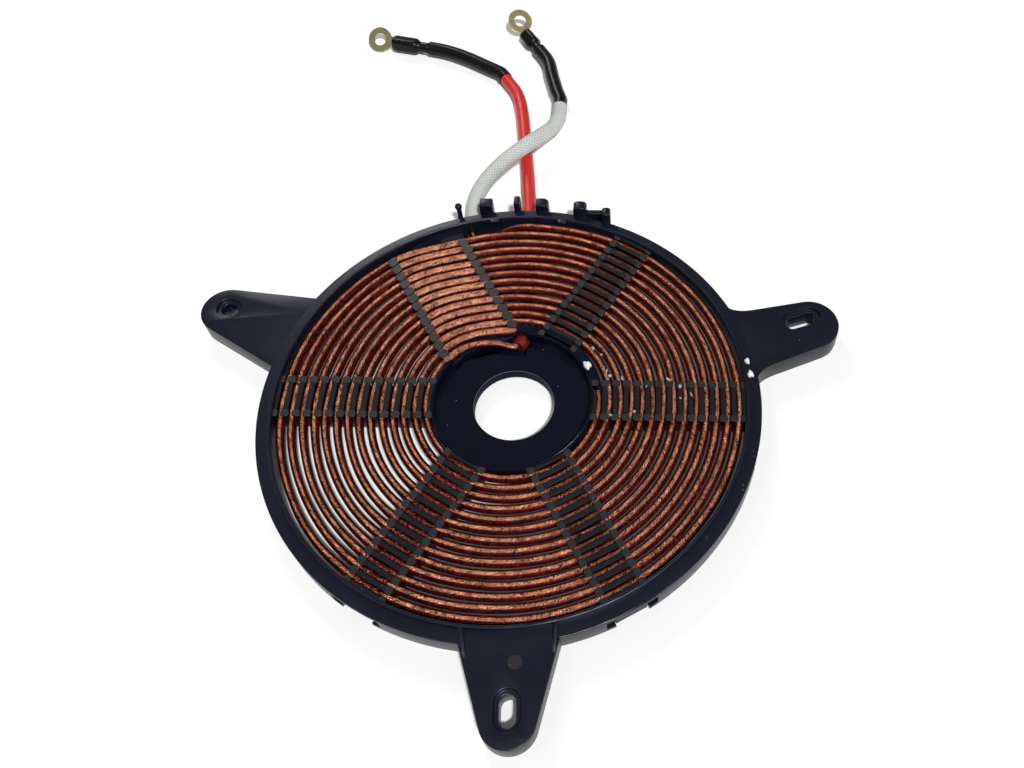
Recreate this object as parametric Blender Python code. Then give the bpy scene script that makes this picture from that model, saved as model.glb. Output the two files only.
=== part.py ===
# Flat spiral induction coil on a moulded carrier, with two sleeved leads.
# Metres, Z up, origin under the middle of the carrier, back of the carrier towards +Y.

import math

import bmesh
import bpy
import numpy as np
from mathutils import Matrix, Vector

MM = 0.001
FIT_GAP = 0.3 * MM

# Ring of the carrier
RIM_RADIUS = 100.0 * MM
SKIRT_THICKNESS = 2.0 * MM
SHELF_TOP = 9.5 * MM
SHELF_THICKNESS = 1.6 * MM
SHELF_WIDTH = 5.2 * MM
WALL_THICKNESS = 1.3 * MM
WALL_OUTER_RADIUS = RIM_RADIUS - SHELF_WIDTH
WALL_INNER_RADIUS = WALL_OUTER_RADIUS - WALL_THICKNESS
WALL_TOP = 12.4 * MM
RING_STEPS = 72

# Hub
HUB_RADIUS = 32.6 * MM
HUB_WALL = 1.4 * MM
HUB_PLATE_TOP = 6.0 * MM
HUB_PLATE_THICKNESS = 1.6 * MM
HOLE_RADIUS = 16.1 * MM
COLLAR_WALL = 1.6 * MM
COLLAR_BOTTOM = 1.5 * MM
HUB_STEPS = 48
LEDGE_OVERHANG = 3.3 * MM
LEDGE_START_DEG = 8.0
LEDGE_END_DEG = 92.0
LEDGE_STEPS = 18

# Pocket where the inner end of the winding drops through the hub
POCKET_RIGHT = 3.2 * MM
POCKET_HOLE_MARGIN = 3.9 * MM
POCKET_MID_MARGIN = 2.7 * MM
POCKET_END_INSET = 3.1 * MM
POCKET_NEAR = HOLE_RADIUS + POCKET_HOLE_MARGIN
POCKET_MID_X = -12.0 * MM
POCKET_MID_Y = HOLE_RADIUS + POCKET_MID_MARGIN
POCKET_END_DEG = 148.6
POCKET_END_RADIUS = HUB_RADIUS - POCKET_END_INSET
POCKET_CLEARANCE = 0.6 * MM
TRAY_WALL = 1.4 * MM
TRAY_FLOOR = 1.6 * MM
POCKET_STEPS = 10

# Winding
STRAND_DIAMETER = 3.15 * MM
LEAST_PITCH = 4.2 * MM
HUB_TURN_MARGIN = 1.9 * MM
WALL_TURN_MARGIN = 2.7 * MM
FIRST_TURN_RADIUS = HUB_RADIUS + HUB_TURN_MARGIN
LAST_TURN_RADIUS = WALL_INNER_RADIUS - WALL_TURN_MARGIN
TURNS = 1 + int((LAST_TURN_RADIUS - FIRST_TURN_RADIUS) / LEAST_PITCH)
WINDING_HEIGHT = 8.5 * MM
POINTS_PER_TURN = 24
CROSSOVER_DEG = 120.0
CROSSOVER_HALF_WIDTH = 15.5 * MM
START_ROUTE_SHARES = ((-0.221, 0.868), (-0.387, 0.843), (-0.558, 0.750), (-0.712, 0.718))
START_RISE_SHARES = (0.10, 0.38, 0.78, 1.0)
END_SWING = 1.0 * MM
END_SWING_SHARES = (0.4, 0.4, -0.2, -1.2)
END_TURNS_DEG = (90.0, 93.6, 97.0, 100.1)
END_DROP_SHARES = (0.0, 0.10, 0.45, 0.82)

# Spokes and their combs
SPOKE_ANGLES_DEG = (0.0, 60.0, 120.0, 180.0, 240.0, 300.0)
SPOKE_HALF_WIDTH = 8.1 * MM
CHANNEL_HALF_WIDTH = 6.9 * MM
CHANNEL_MARGIN = 2.9 * MM
FLOOR_THICKNESS = 1.1 * MM
CROSS_PLATE_MARGIN = 0.4 * MM
CROSS_PLATE_BORDER = 2.5 * MM
CROSS_PLATE_HALF_WIDTH = CROSSOVER_HALF_WIDTH + CROSS_PLATE_BORDER
COMB_TOP = 11.2 * MM
LIP_THICKNESS = 0.8 * MM
WEB_THICKNESS = 0.5 * MM
WEB_EMBED = 0.2 * MM
WEB_REACH = 8.6 * MM
RUNG_HALF_WIDTH = 1.0 * MM
KNOB_HALF_WIDTH = 1.65 * MM
KNOB_INNER = 6.3 * MM
KNOB_OUTER = 9.4 * MM
TOOTH_INNER = 1.0 * MM
TOOTH_OUTER = 2.6 * MM
TOOTH_WEB_HALF = 1.5 * MM
STRAIGHT_WEB_SHARE = 0.128
NEXT_TURN_SHARE = 1.3

# Mouths cut in the skirt at the two front spokes
MOUTH_ANGLES_DEG = (240.0, 300.0)
MOUTH_HALF_WIDTH = 10.5 * MM
MOUTH_BOTTOM = 2.2 * MM

# Ears: angle, reach of the tip arc's centre past the rim, radius of the tip arc, half angle of the root
EARS = (
    ("front", -86.2, 25.7 * MM, 10.0 * MM, 11.6),
    ("left", 161.0, 29.6 * MM, 10.8 * MM, 11.6),
    ("right", 17.9, 28.8 * MM, 12.0 * MM, 9.4),
)
FILLETED_EAR = "right"
GUSSETED_EAR = "front"
EAR_ROOT_INSET = 4.5 * MM
EAR_FILLET_HALF_DEG = 12.8
EAR_FILLET_REACH = 10.0 * MM
EAR_FILLET_STEPS = 4
EAR_FILLET_DEPTH = 1.2 * MM
EAR_PLATE = 2.5 * MM
EAR_WALL = 2.0 * MM
EAR_POCKET_MARGIN = 1.5 * MM
EAR_POCKET_EASE_DEG = 0.3
EAR_TIP_STEPS = 14
BOSS_WALL = 2.2 * MM
SLOT_WIDTH = 6.0 * MM
SLOT_STEPS = 8
RECESS_MARGIN = 1.6 * MM
RECESS_DEPTH = 1.4 * MM
SLOT_PLACES = (
    ("front", -86.3, 22.3 * MM, 5.5 * MM),
    ("left", 160.5, 29.6 * MM, 1.0 * MM),
    ("right", 19.6, 26.2 * MM, 8.0 * MM),
)
GUSSET_LENGTH = 13.0 * MM
GUSSET_THICKNESS = 1.5 * MM
GUSSET_TURN_DEG = 10.3
GUSSET_LEAN_DEG = 7.0

# Posts on the back of the ring that hold the leads
POST_TOP = 15.6 * MM
POST_DEPTH = 4.6 * MM
POST_INSET = 1.2 * MM
PEG_X = -31.8 * MM
PEG_DIAMETER = 3.0 * MM
PEG_REACH = 2.7 * MM
PEG_STEPS = 12
BLOCK_X = -19.6 * MM
BLOCK_WIDTH = 5.8 * MM
GUIDE_X = -6.0 * MM
GUIDE_WIDTH = 2.8 * MM
HOOK_X = 5.1 * MM
HOOK_WIDTH = 5.8 * MM
HOOK_DROP = 1.2 * MM
CLIP_X = 22.2 * MM
CLIP_WIDTH = 6.0 * MM
CLIP_BAR_X = 28.4 * MM
CLIP_BAR_WIDTH = 8.4 * MM
CLIP_BAR_TOP = 12.0 * MM
CLIP_END_X = 34.0 * MM
CLIP_END_WIDTH = 4.0 * MM

# Ferrite bars
BAR_HUB_GAP = 4.0 * MM
BAR_RIM_GAP = 3.4 * MM
BAR_LENGTH = RIM_RADIUS - BAR_RIM_GAP - HUB_RADIUS - BAR_HUB_GAP
BAR_HALF_WIDTH = 6.6 * MM
BAR_BOTTOM = 0.6 * MM
BAR_CHAMFER = 0.4 * MM
LAST_BAR_SHIFT = 2.2 * MM
BAR_SHIFT_SHARES = (0.0, 0.0, 0.0, 0.0, 0.0, 1.0)

# Leads
RED_SLEEVE_DIAMETER = 6.2 * MM
WHITE_SLEEVE_DIAMETER = 7.2 * MM
RUN_HEIGHT = 3.5 * MM
RUN_END_X = -0.8 * MM
RUN_END_INSET = 2.6 * MM
RUN_END_Y = HUB_RADIUS - RUN_END_INSET
RUN_END_DEG = 240.0
RUN_EXIT_X = -1.2 * MM
RUN_EXIT_REACH = 0.4 * MM
RUN_EXIT_Y = RIM_RADIUS + RUN_EXIT_REACH
RUN_CHANNEL_LEFT = -4.7 * MM
RUN_CHANNEL_RIGHT = 4.8 * MM
RUN_CHANNEL_INSET = 4.5 * MM
RUN_CHANNEL_TOP = 6.85 * MM
RUN_SWAY = (1.2 * MM, 1.1 * MM, -0.1 * MM, RUN_EXIT_X)
RUN_SPAN_SHARES = (0.11, 0.4065, 0.733, 0.911)
TAIL_X = -26.4 * MM
TAIL_HEIGHT = 3.75 * MM
TAIL_BEND_RADIUS = 5.5 * MM
TAIL_BEND_INSET = 8.5 * MM
TAIL_BEND_Y = RIM_RADIUS - TAIL_BEND_INSET
TAIL_BEND_START_DEG = 285.0
TAIL_BEND_STEP_DEG = 26.25
TAIL_BEND_POINTS = 5
TAIL_END_INSET = 2.4 * MM
TAIL_END_Y = RIM_RADIUS - TAIL_END_INSET
TAIL_NOTCH_HALF_WIDTH = 2.6 * MM
TAIL_NOTCH_TOP = 6.2 * MM
LEAD_TUBE_STEPS = 2
STRAND_TUBE_STEPS = 1

# Ends of the leads
SHRINK_DIAMETER = 7.0 * MM
COVER_DIAMETER = 8.0 * MM
COVER_STEPS = 14
COVER_SHARES = ((0.68, 0.0), (0.64, 0.26), (1.0, 0.36), (1.0, 0.95), (0.84, 1.0))
RED_COVER_LENGTH = 19.0 * MM
WHITE_COVER_LENGTH = 14.0 * MM
END_HEIGHT = 4.1 * MM
LUG_RADIUS = 6.1 * MM
LUG_HOLE_RADIUS = 3.1 * MM
LUG_THICKNESS = 1.0 * MM
LUG_TONGUE_WIDTH = 5.0 * MM
LUG_REACH = 7.2 * MM
LUG_STEPS = 28
RED_LUG_PITCH_DEG = 0.0
RED_LUG_ROLL_DEG = -35.0
WHITE_LUG_PITCH_DEG = 28.0
WHITE_LUG_ROLL_DEG = 0.0

# Adhesive
DAB_HEIGHT = 1.1 * MM
DAB_STEPS = 12
DAB_WIDTH_SHARE = 0.8
DAB_PROFILE_SHARES = ((0.0, 0.0), (1.0, 0.0), (0.82, 0.55), (0.45, 0.88), (0.0, 1.0))
DAB_HUB_MARGIN = 0.6 * MM
DAB_RIM_MARGIN = 3.1 * MM
DAB_HUB_RADIUS = HUB_RADIUS + DAB_HUB_MARGIN
DAB_RIM_RADIUS = RIM_RADIUS - DAB_RIM_MARGIN
DABS = (
    ("adhesive_dab_hub", 29.0, DAB_HUB_RADIUS, 2.3 * MM, COMB_TOP),
    ("adhesive_dab_rim_inner", 8.3, DAB_RIM_RADIUS, 1.9 * MM, SHELF_TOP),
    ("adhesive_dab_rim_outer", 12.1, DAB_RIM_RADIUS, 1.6 * MM, SHELF_TOP),
)

PITCH = (LAST_TURN_RADIUS - FIRST_TURN_RADIUS) / (TURNS - 1)
STRAND_RADIUS = STRAND_DIAMETER / 2
STEP_DEG = 360.0 / POINTS_PER_TURN
CORNER_FACTOR = 1.0 / math.cos(math.radians(STEP_DEG / 2))
FLOOR_TOP = WINDING_HEIGHT - STRAND_RADIUS - FIT_GAP
FLOOR_BOTTOM = FLOOR_TOP - FLOOR_THICKNESS
BAR_TOP = FLOOR_BOTTOM - FIT_GAP
LIP_BOTTOM = COMB_TOP - LIP_THICKNESS
DEPTH_BELOW = 1.0 * MM
WELD_DISTANCE = 0.01 * MM
OVERCUT = 1.0 * MM
OVERLAP = 0.6 * MM
STEP_IN = 0.1 * MM
HALF_TURN_DEG = 180.0

# Routes of the two leads: across from the coil axis, back from the rim, height
WHITE_ROUTE = (
    (-27.0 * MM, 4.0 * MM, 3.8 * MM),
    (-26.4 * MM, 12.0 * MM, 4.6 * MM),
    (-22.0 * MM, 20.8 * MM, 7.2 * MM),
    (-14.0 * MM, 29.6 * MM, 10.3 * MM),
    (-6.0 * MM, 38.0 * MM, 10.9 * MM),
    (0.8 * MM, 46.6 * MM, 9.4 * MM),
    (5.6 * MM, 56.0 * MM, 5.8 * MM),
    (8.2 * MM, 64.4 * MM, 4.0 * MM),
)
WHITE_SLEEVE_END = (8.4 * MM, 72.6 * MM, 4.0 * MM)
WHITE_SHRINK_ROUTE = (
    (6.5 * MM, 82.0 * MM, 4.0 * MM), (3.2 * MM, 93.8 * MM, 4.0 * MM), (0.7 * MM, 104.2 * MM, 4.0 * MM),
)
WHITE_SHRINK_END = (-4.6 * MM, 113.0 * MM, END_HEIGHT)
RED_ROUTE = (
    (-1.6 * MM, 6.0 * MM, 3.4 * MM),
    (-3.2 * MM, 20.0 * MM, 3.2 * MM),
    (-5.2 * MM, 36.0 * MM, 3.2 * MM),
    (-7.4 * MM, 52.0 * MM, 3.2 * MM),
    (-9.8 * MM, 68.0 * MM, 3.2 * MM),
    (-13.2 * MM, 81.0 * MM, 3.3 * MM),
)
RED_SLEEVE_END = (-19.8 * MM, 91.6 * MM, 3.6 * MM)
RED_SHRINK_ROUTE = (
    (-29.6 * MM, 99.4 * MM, 3.9 * MM), (-40.8 * MM, 105.8 * MM, 4.0 * MM), (-51.4 * MM, 110.4 * MM, 4.0 * MM),
)
RED_SHRINK_END = (-60.2 * MM, 112.4 * MM, END_HEIGHT)
LEAD_SAMPLE = 15.0 * MM
JOINT_LENGTH = 4.0 * MM

LEAD_PARTS = (
    "red_lead", "white_lead", "red_heat_shrink", "white_heat_shrink",
    "red_crimp_cover", "white_crimp_cover", "red_ring_terminal", "white_ring_terminal",
)


def polar(radius, degrees, height=0.0):
    turn = math.radians(degrees)
    return Vector((radius * math.cos(turn), radius * math.sin(turn), height))


def material(name, color, roughness, metallic=0.0):
    made = bpy.data.materials.new(name)
    made.use_nodes = True
    shader = made.node_tree.nodes["Principled BSDF"]
    shader.inputs["Base Color"].default_value = (*color, 1.0)
    shader.inputs["Roughness"].default_value = roughness
    shader.inputs["Metallic"].default_value = metallic
    made.diffuse_color = (*color, 1.0)
    return made


def mesh_object(name, shape, surface=None, smooth=False):
    bmesh.ops.recalc_face_normals(shape, faces=shape.faces)
    data = bpy.data.meshes.new(name)
    shape.to_mesh(data)
    shape.free()
    for face in data.polygons:
        face.use_smooth = smooth
    item = bpy.data.objects.new(name, data)
    bpy.context.scene.collection.objects.link(item)
    if surface:
        data.materials.append(surface)
    return item


def hide_helper(item):
    item.hide_render = True
    item.hide_set(True)
    item.display_type = "WIRE"


def combine(target, tool, operation):
    step = target.modifiers.new(tool.name, "BOOLEAN")
    step.operation = operation
    step.solver = "EXACT"
    step.object = tool
    hide_helper(tool)


def prism_into(shape, outline, bottom, top):
    lower = [shape.verts.new((x, y, bottom)) for x, y in outline]
    face = shape.faces.new(lower)
    grown = bmesh.ops.extrude_face_region(shape, geom=[face])
    lifted = [part for part in grown["geom"] if isinstance(part, bmesh.types.BMVert)]
    bmesh.ops.translate(shape, verts=lifted, vec=(0.0, 0.0, top - bottom))


def prisms(name, outlines, bottom, top):
    shape = bmesh.new()
    for outline in outlines:
        prism_into(shape, outline, bottom, top)
    return mesh_object(name, shape)


def spun(name, profile, steps, surface=None):
    shape = bmesh.new()
    corners = [shape.verts.new((radius, 0.0, height)) for radius, height in profile]
    edges = [shape.edges.new((a, b)) for a, b in zip(corners, corners[1:] + corners[:1])]
    bmesh.ops.spin(
        shape, geom=corners + edges, cent=(0.0, 0.0, 0.0), axis=(0.0, 0.0, 1.0),
        angle=math.tau, steps=steps, use_merge=True, use_duplicate=False,
    )
    return mesh_object(name, shape, surface, smooth=True)


def local_box(angle_deg, start, end, half_width):
    along = polar(1.0, angle_deg)
    across = polar(1.0, angle_deg + 90.0)
    corners = (
        along * start - across * half_width,
        along * end - across * half_width,
        along * end + across * half_width,
        along * start + across * half_width,
    )
    return [(corner.x, corner.y) for corner in corners]


def plain_box(left, right, near, far):
    return [(left, near), (right, near), (right, far), (left, far)]


def arc_outline(inner, outer, start_deg, end_deg, steps):
    sweep = [start_deg + (end_deg - start_deg) * i / steps for i in range(steps + 1)]
    outside = [polar(outer, degrees) for degrees in sweep]
    inside = [polar(inner, degrees) for degrees in reversed(sweep)]
    return [(point.x, point.y) for point in outside + inside]


def capsule(centre, direction_deg, length, width, steps):
    along = polar(1.0, direction_deg)
    outline = []
    for sign, offset in ((1.0, -90.0), (-1.0, 90.0)):
        for i in range(steps + 1):
            spot = polar(width / 2, direction_deg + offset + HALF_TURN_DEG * i / steps)
            spot += centre + along * (sign * length / 2)
            outline.append((spot.x, spot.y))
    return outline


def behind_rim(places):
    return [Vector((x, RIM_RADIUS + y, z)) for x, y, z in places]


def smooth_step(value):
    value = min(max(value, 0.0), 1.0)
    return value * value * (3.0 - 2.0 * value)


def catmull(points, spacing):
    path = [Vector(point) for point in points]
    ends = [path[0] * 2 - path[1]] + path + [path[-1] * 2 - path[-2]]
    made = [path[0]]
    for before, start, finish, after in zip(ends, ends[1:], ends[2:], ends[3:]):
        count = max(1, round((finish - start).length / spacing))
        for i in range(1, count + 1):
            t = i / count
            made.append(0.5 * (
                start * 2.0 + (finish - before) * t
                + (before * 2.0 - start * 5.0 + finish * 4.0 - after) * t ** 2
                + (start * 3.0 - before - finish * 3.0 + after) * t ** 3
            ))
    return made


def tube(name, points, radius, shape_steps, surface):
    data = bpy.data.curves.new(name, "CURVE")
    data.dimensions = "3D"
    data.bevel_depth = radius
    data.bevel_resolution = shape_steps
    data.use_fill_caps = True
    line = data.splines.new("POLY")
    line.points.add(len(points) - 1)
    for knot, place in zip(line.points, points):
        knot.co = (*place, 1.0)
    line.use_smooth = True
    data.materials.append(surface)
    item = bpy.data.objects.new(name, data)
    bpy.context.scene.collection.objects.link(item)
    return item


def turn_radius(sweep_deg):
    crossing = round((sweep_deg - CROSSOVER_DEG) / 360.0)
    away = sweep_deg - CROSSOVER_DEG - 360.0 * crossing
    base = FIRST_TURN_RADIUS + PITCH * (crossing - 1)
    if abs(away) >= 90.0:
        return base + PITCH if away > 0.0 else base
    side = (base + PITCH / 2) * math.sin(math.radians(away))
    return base + PITCH * smooth_step((side / CROSSOVER_HALF_WIDTH + 1.0) / 2)


def spiral_points():
    first = CROSSOVER_DEG + STEP_DEG * 1.5
    last = CROSSOVER_DEG + 360.0 * TURNS - STEP_DEG * 2.5
    count = round((last - first) / STEP_DEG)
    sweeps = [first + STEP_DEG * i for i in range(count + 1)]
    return [polar(turn_radius(s) * CORNER_FACTOR, s, WINDING_HEIGHT) for s in sweeps]


def start_points():
    heading = polar(1.0, RUN_END_DEG)
    face = Vector((RUN_END_X, RUN_END_Y, RUN_HEIGHT + FIT_GAP / 2)) + heading * FIT_GAP
    straight = face + heading * STRAND_DIAMETER
    rise = WINDING_HEIGHT - RUN_HEIGHT
    climb = [
        Vector((x * HUB_RADIUS, y * HUB_RADIUS, RUN_HEIGHT + rise * share))
        for (x, y), share in zip(START_ROUTE_SHARES, START_RISE_SHARES)
    ]
    return [face, straight] + climb


def end_points():
    drop = WINDING_HEIGHT - TAIL_HEIGHT
    dip = [
        polar(LAST_TURN_RADIUS + END_SWING * swing, degrees, WINDING_HEIGHT - drop * share)
        for swing, degrees, share in zip(END_SWING_SHARES, END_TURNS_DEG, END_DROP_SHARES)
    ]
    centre = Vector((TAIL_X + TAIL_BEND_RADIUS, TAIL_BEND_Y, TAIL_HEIGHT))
    turns = [TAIL_BEND_START_DEG - TAIL_BEND_STEP_DEG * i for i in range(TAIL_BEND_POINTS)]
    bend = [centre + polar(TAIL_BEND_RADIUS, degrees) for degrees in turns]
    straight = Vector((TAIL_X, TAIL_END_Y - STRAND_DIAMETER, TAIL_HEIGHT))
    face = Vector((TAIL_X, TAIL_END_Y, TAIL_HEIGHT))
    return dip + bend + [straight, face]


def crossing_points(path, angle_deg, offset):
    along = polar(1.0, angle_deg)
    across = polar(1.0, angle_deg + 90.0)
    found = []
    for start, finish in zip(path, path[1:]):
        a = start.dot(across) - offset
        b = finish.dot(across) - offset
        if (a > 0.0) == (b > 0.0):
            continue
        spot = start.lerp(finish, a / (a - b))
        if spot.dot(along) > 0.0:
            found.append((spot, (finish - start).normalized()))
    return sorted(found, key=lambda pair: pair[0].dot(along))


def teeth(path, angle_deg, offset):
    found = crossing_points(path, angle_deg, offset)
    places = []
    for (spot, heading), (next_spot, next_heading) in zip(found, found[1:]):
        if (next_spot - spot).length < PITCH * NEXT_TURN_SHARE:
            places.append(((spot + next_spot) / 2, (heading + next_heading).normalized()))
    return places


def tooth_outline(centre, heading, inner, outer):
    side = Vector((heading.y, -heading.x, 0.0))
    half = ((-outer, KNOB_HALF_WIDTH), (-inner, RUNG_HALF_WIDTH),
            (inner, RUNG_HALF_WIDTH), (outer, KNOB_HALF_WIDTH))
    loop = list(half) + [(reach, -width) for reach, width in reversed(half)]
    spots = [centre + heading * reach + side * width for reach, width in loop]
    return [(spot.x, spot.y) for spot in spots]


def web_outline(centre, heading, half_length):
    side = Vector((heading.y, -heading.x, 0.0)) * (WEB_THICKNESS / 2)
    reach = heading * half_length
    spots = (centre - reach - side, centre + reach - side, centre + reach + side, centre - reach + side)
    return [(spot.x, spot.y) for spot in spots]


def comb_outlines(path):
    webs = []
    lips = []
    for angle_deg in SPOKE_ANGLES_DEG:
        if angle_deg == CROSSOVER_DEG:
            continue
        for centre, heading in teeth(path, angle_deg, 0.0):
            straight = min(WEB_REACH, STRAIGHT_WEB_SHARE * centre.to_2d().length)
            webs.append(web_outline(centre, heading, straight))
            lips.append(tooth_outline(centre, heading, KNOB_INNER, KNOB_OUTER))
    for offset in (-CROSSOVER_HALF_WIDTH, CROSSOVER_HALF_WIDTH):
        for centre, heading in teeth(path, CROSSOVER_DEG, offset):
            clear_of_run = centre.x + TOOTH_OUTER < RUN_CHANNEL_LEFT
            if clear_of_run:
                webs.append(web_outline(centre, heading, TOOTH_WEB_HALF))
                lips.append(tooth_outline(centre, heading, TOOTH_INNER, TOOTH_OUTER))
    return webs, lips


def pocket_outline(grow):
    arc_radius = HUB_RADIUS + POCKET_CLEARANCE - grow
    right = POCKET_RIGHT + grow
    start_deg = math.degrees(math.acos(right / arc_radius))
    end_deg = POCKET_END_DEG + math.degrees(grow / arc_radius)
    sweep = [start_deg + (end_deg - start_deg) * i / POCKET_STEPS for i in range(POCKET_STEPS + 1)]
    arc = [polar(arc_radius, degrees) for degrees in sweep]
    end = polar(POCKET_END_RADIUS - grow, end_deg)
    outline = [(right, POCKET_NEAR - grow)] + [(spot.x, spot.y) for spot in arc]
    return outline + [(end.x, end.y), (POCKET_MID_X, POCKET_MID_Y - grow)]


def ear_outline(angle_deg, distance, tip_radius, root_half_deg, root_radius):
    centre = polar(distance, angle_deg)
    half_root = root_radius * math.sin(math.radians(root_half_deg))
    span = distance - root_radius * math.cos(math.radians(root_half_deg))
    lean = math.degrees(math.atan2(half_root - tip_radius, span))
    start = angle_deg - 90.0 + lean
    tip_turn = HALF_TURN_DEG - 2.0 * lean
    sweep = [start + tip_turn * i / EAR_TIP_STEPS for i in range(EAR_TIP_STEPS + 1)]
    tip = [centre + polar(tip_radius, degrees) for degrees in sweep]
    root = [polar(root_radius, angle_deg + root_half_deg), polar(root_radius, angle_deg - root_half_deg)]
    return [(spot.x, spot.y) for spot in tip + root]


def ear_fillet(angle_deg, root_half_deg, side, outline):
    rim = RIM_RADIUS - OVERLAP
    root = Vector(outline[-2] if side > 0.0 else outline[-1])
    edge = Vector(outline[-3] if side > 0.0 else outline[0])
    along = (edge - root).normalized()
    reach = -root.dot(along) + math.sqrt(root.dot(along) ** 2 + rim ** 2 - root.length_squared)
    corner = root + along * reach
    start = polar(rim, angle_deg + side * EAR_FILLET_HALF_DEG).to_2d()
    finish = corner + along * EAR_FILLET_REACH
    curve = []
    for i in range(EAR_FILLET_STEPS + 1):
        t = i / EAR_FILLET_STEPS
        curve.append(start * (1.0 - t) ** 2 + corner * (2.0 * t * (1.0 - t)) + finish * t ** 2)
    inner = polar(rim - EAR_FILLET_DEPTH, angle_deg + side * EAR_FILLET_HALF_DEG).to_2d()
    heel = polar(rim - EAR_FILLET_DEPTH, angle_deg + side * (root_half_deg - EAR_POCKET_EASE_DEG)).to_2d()
    tuck = finish - Vector((-along.y, along.x)) * (side * EAR_FILLET_DEPTH)
    spots = [inner] + curve + [tuck, heel]
    return [tuple(spot) for spot in spots]


def gusset_into(shape, angle_deg, side):
    turn = angle_deg + side * GUSSET_TURN_DEG
    lean = angle_deg - side * GUSSET_LEAN_DEG
    along = polar(1.0, lean)
    across = polar(1.0, lean + 90.0) * (GUSSET_THICKNESS / 2)
    root = polar(WALL_OUTER_RADIUS - OVERLAP, turn)
    low = SHELF_TOP - OVERLAP
    for_side = []
    for shift in (-across, across):
        corners = (
            root + shift + Vector((0.0, 0.0, low)),
            root + shift + along * GUSSET_LENGTH + Vector((0.0, 0.0, low)),
            root + shift + Vector((0.0, 0.0, WALL_TOP - OVERLAP)),
        )
        for_side.append([shape.verts.new(corner) for corner in corners])
    first, second = for_side
    shape.faces.new(first)
    shape.faces.new(list(reversed(second)))
    for i in range(3):
        j = (i + 1) % 3
        shape.faces.new((first[j], first[i], second[i], second[j]))


def post_outline(x, width):
    near = math.sqrt(RIM_RADIUS ** 2 - x ** 2) - POST_INSET
    return plain_box(x - width / 2, x + width / 2, near, near + POST_DEPTH)


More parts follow.
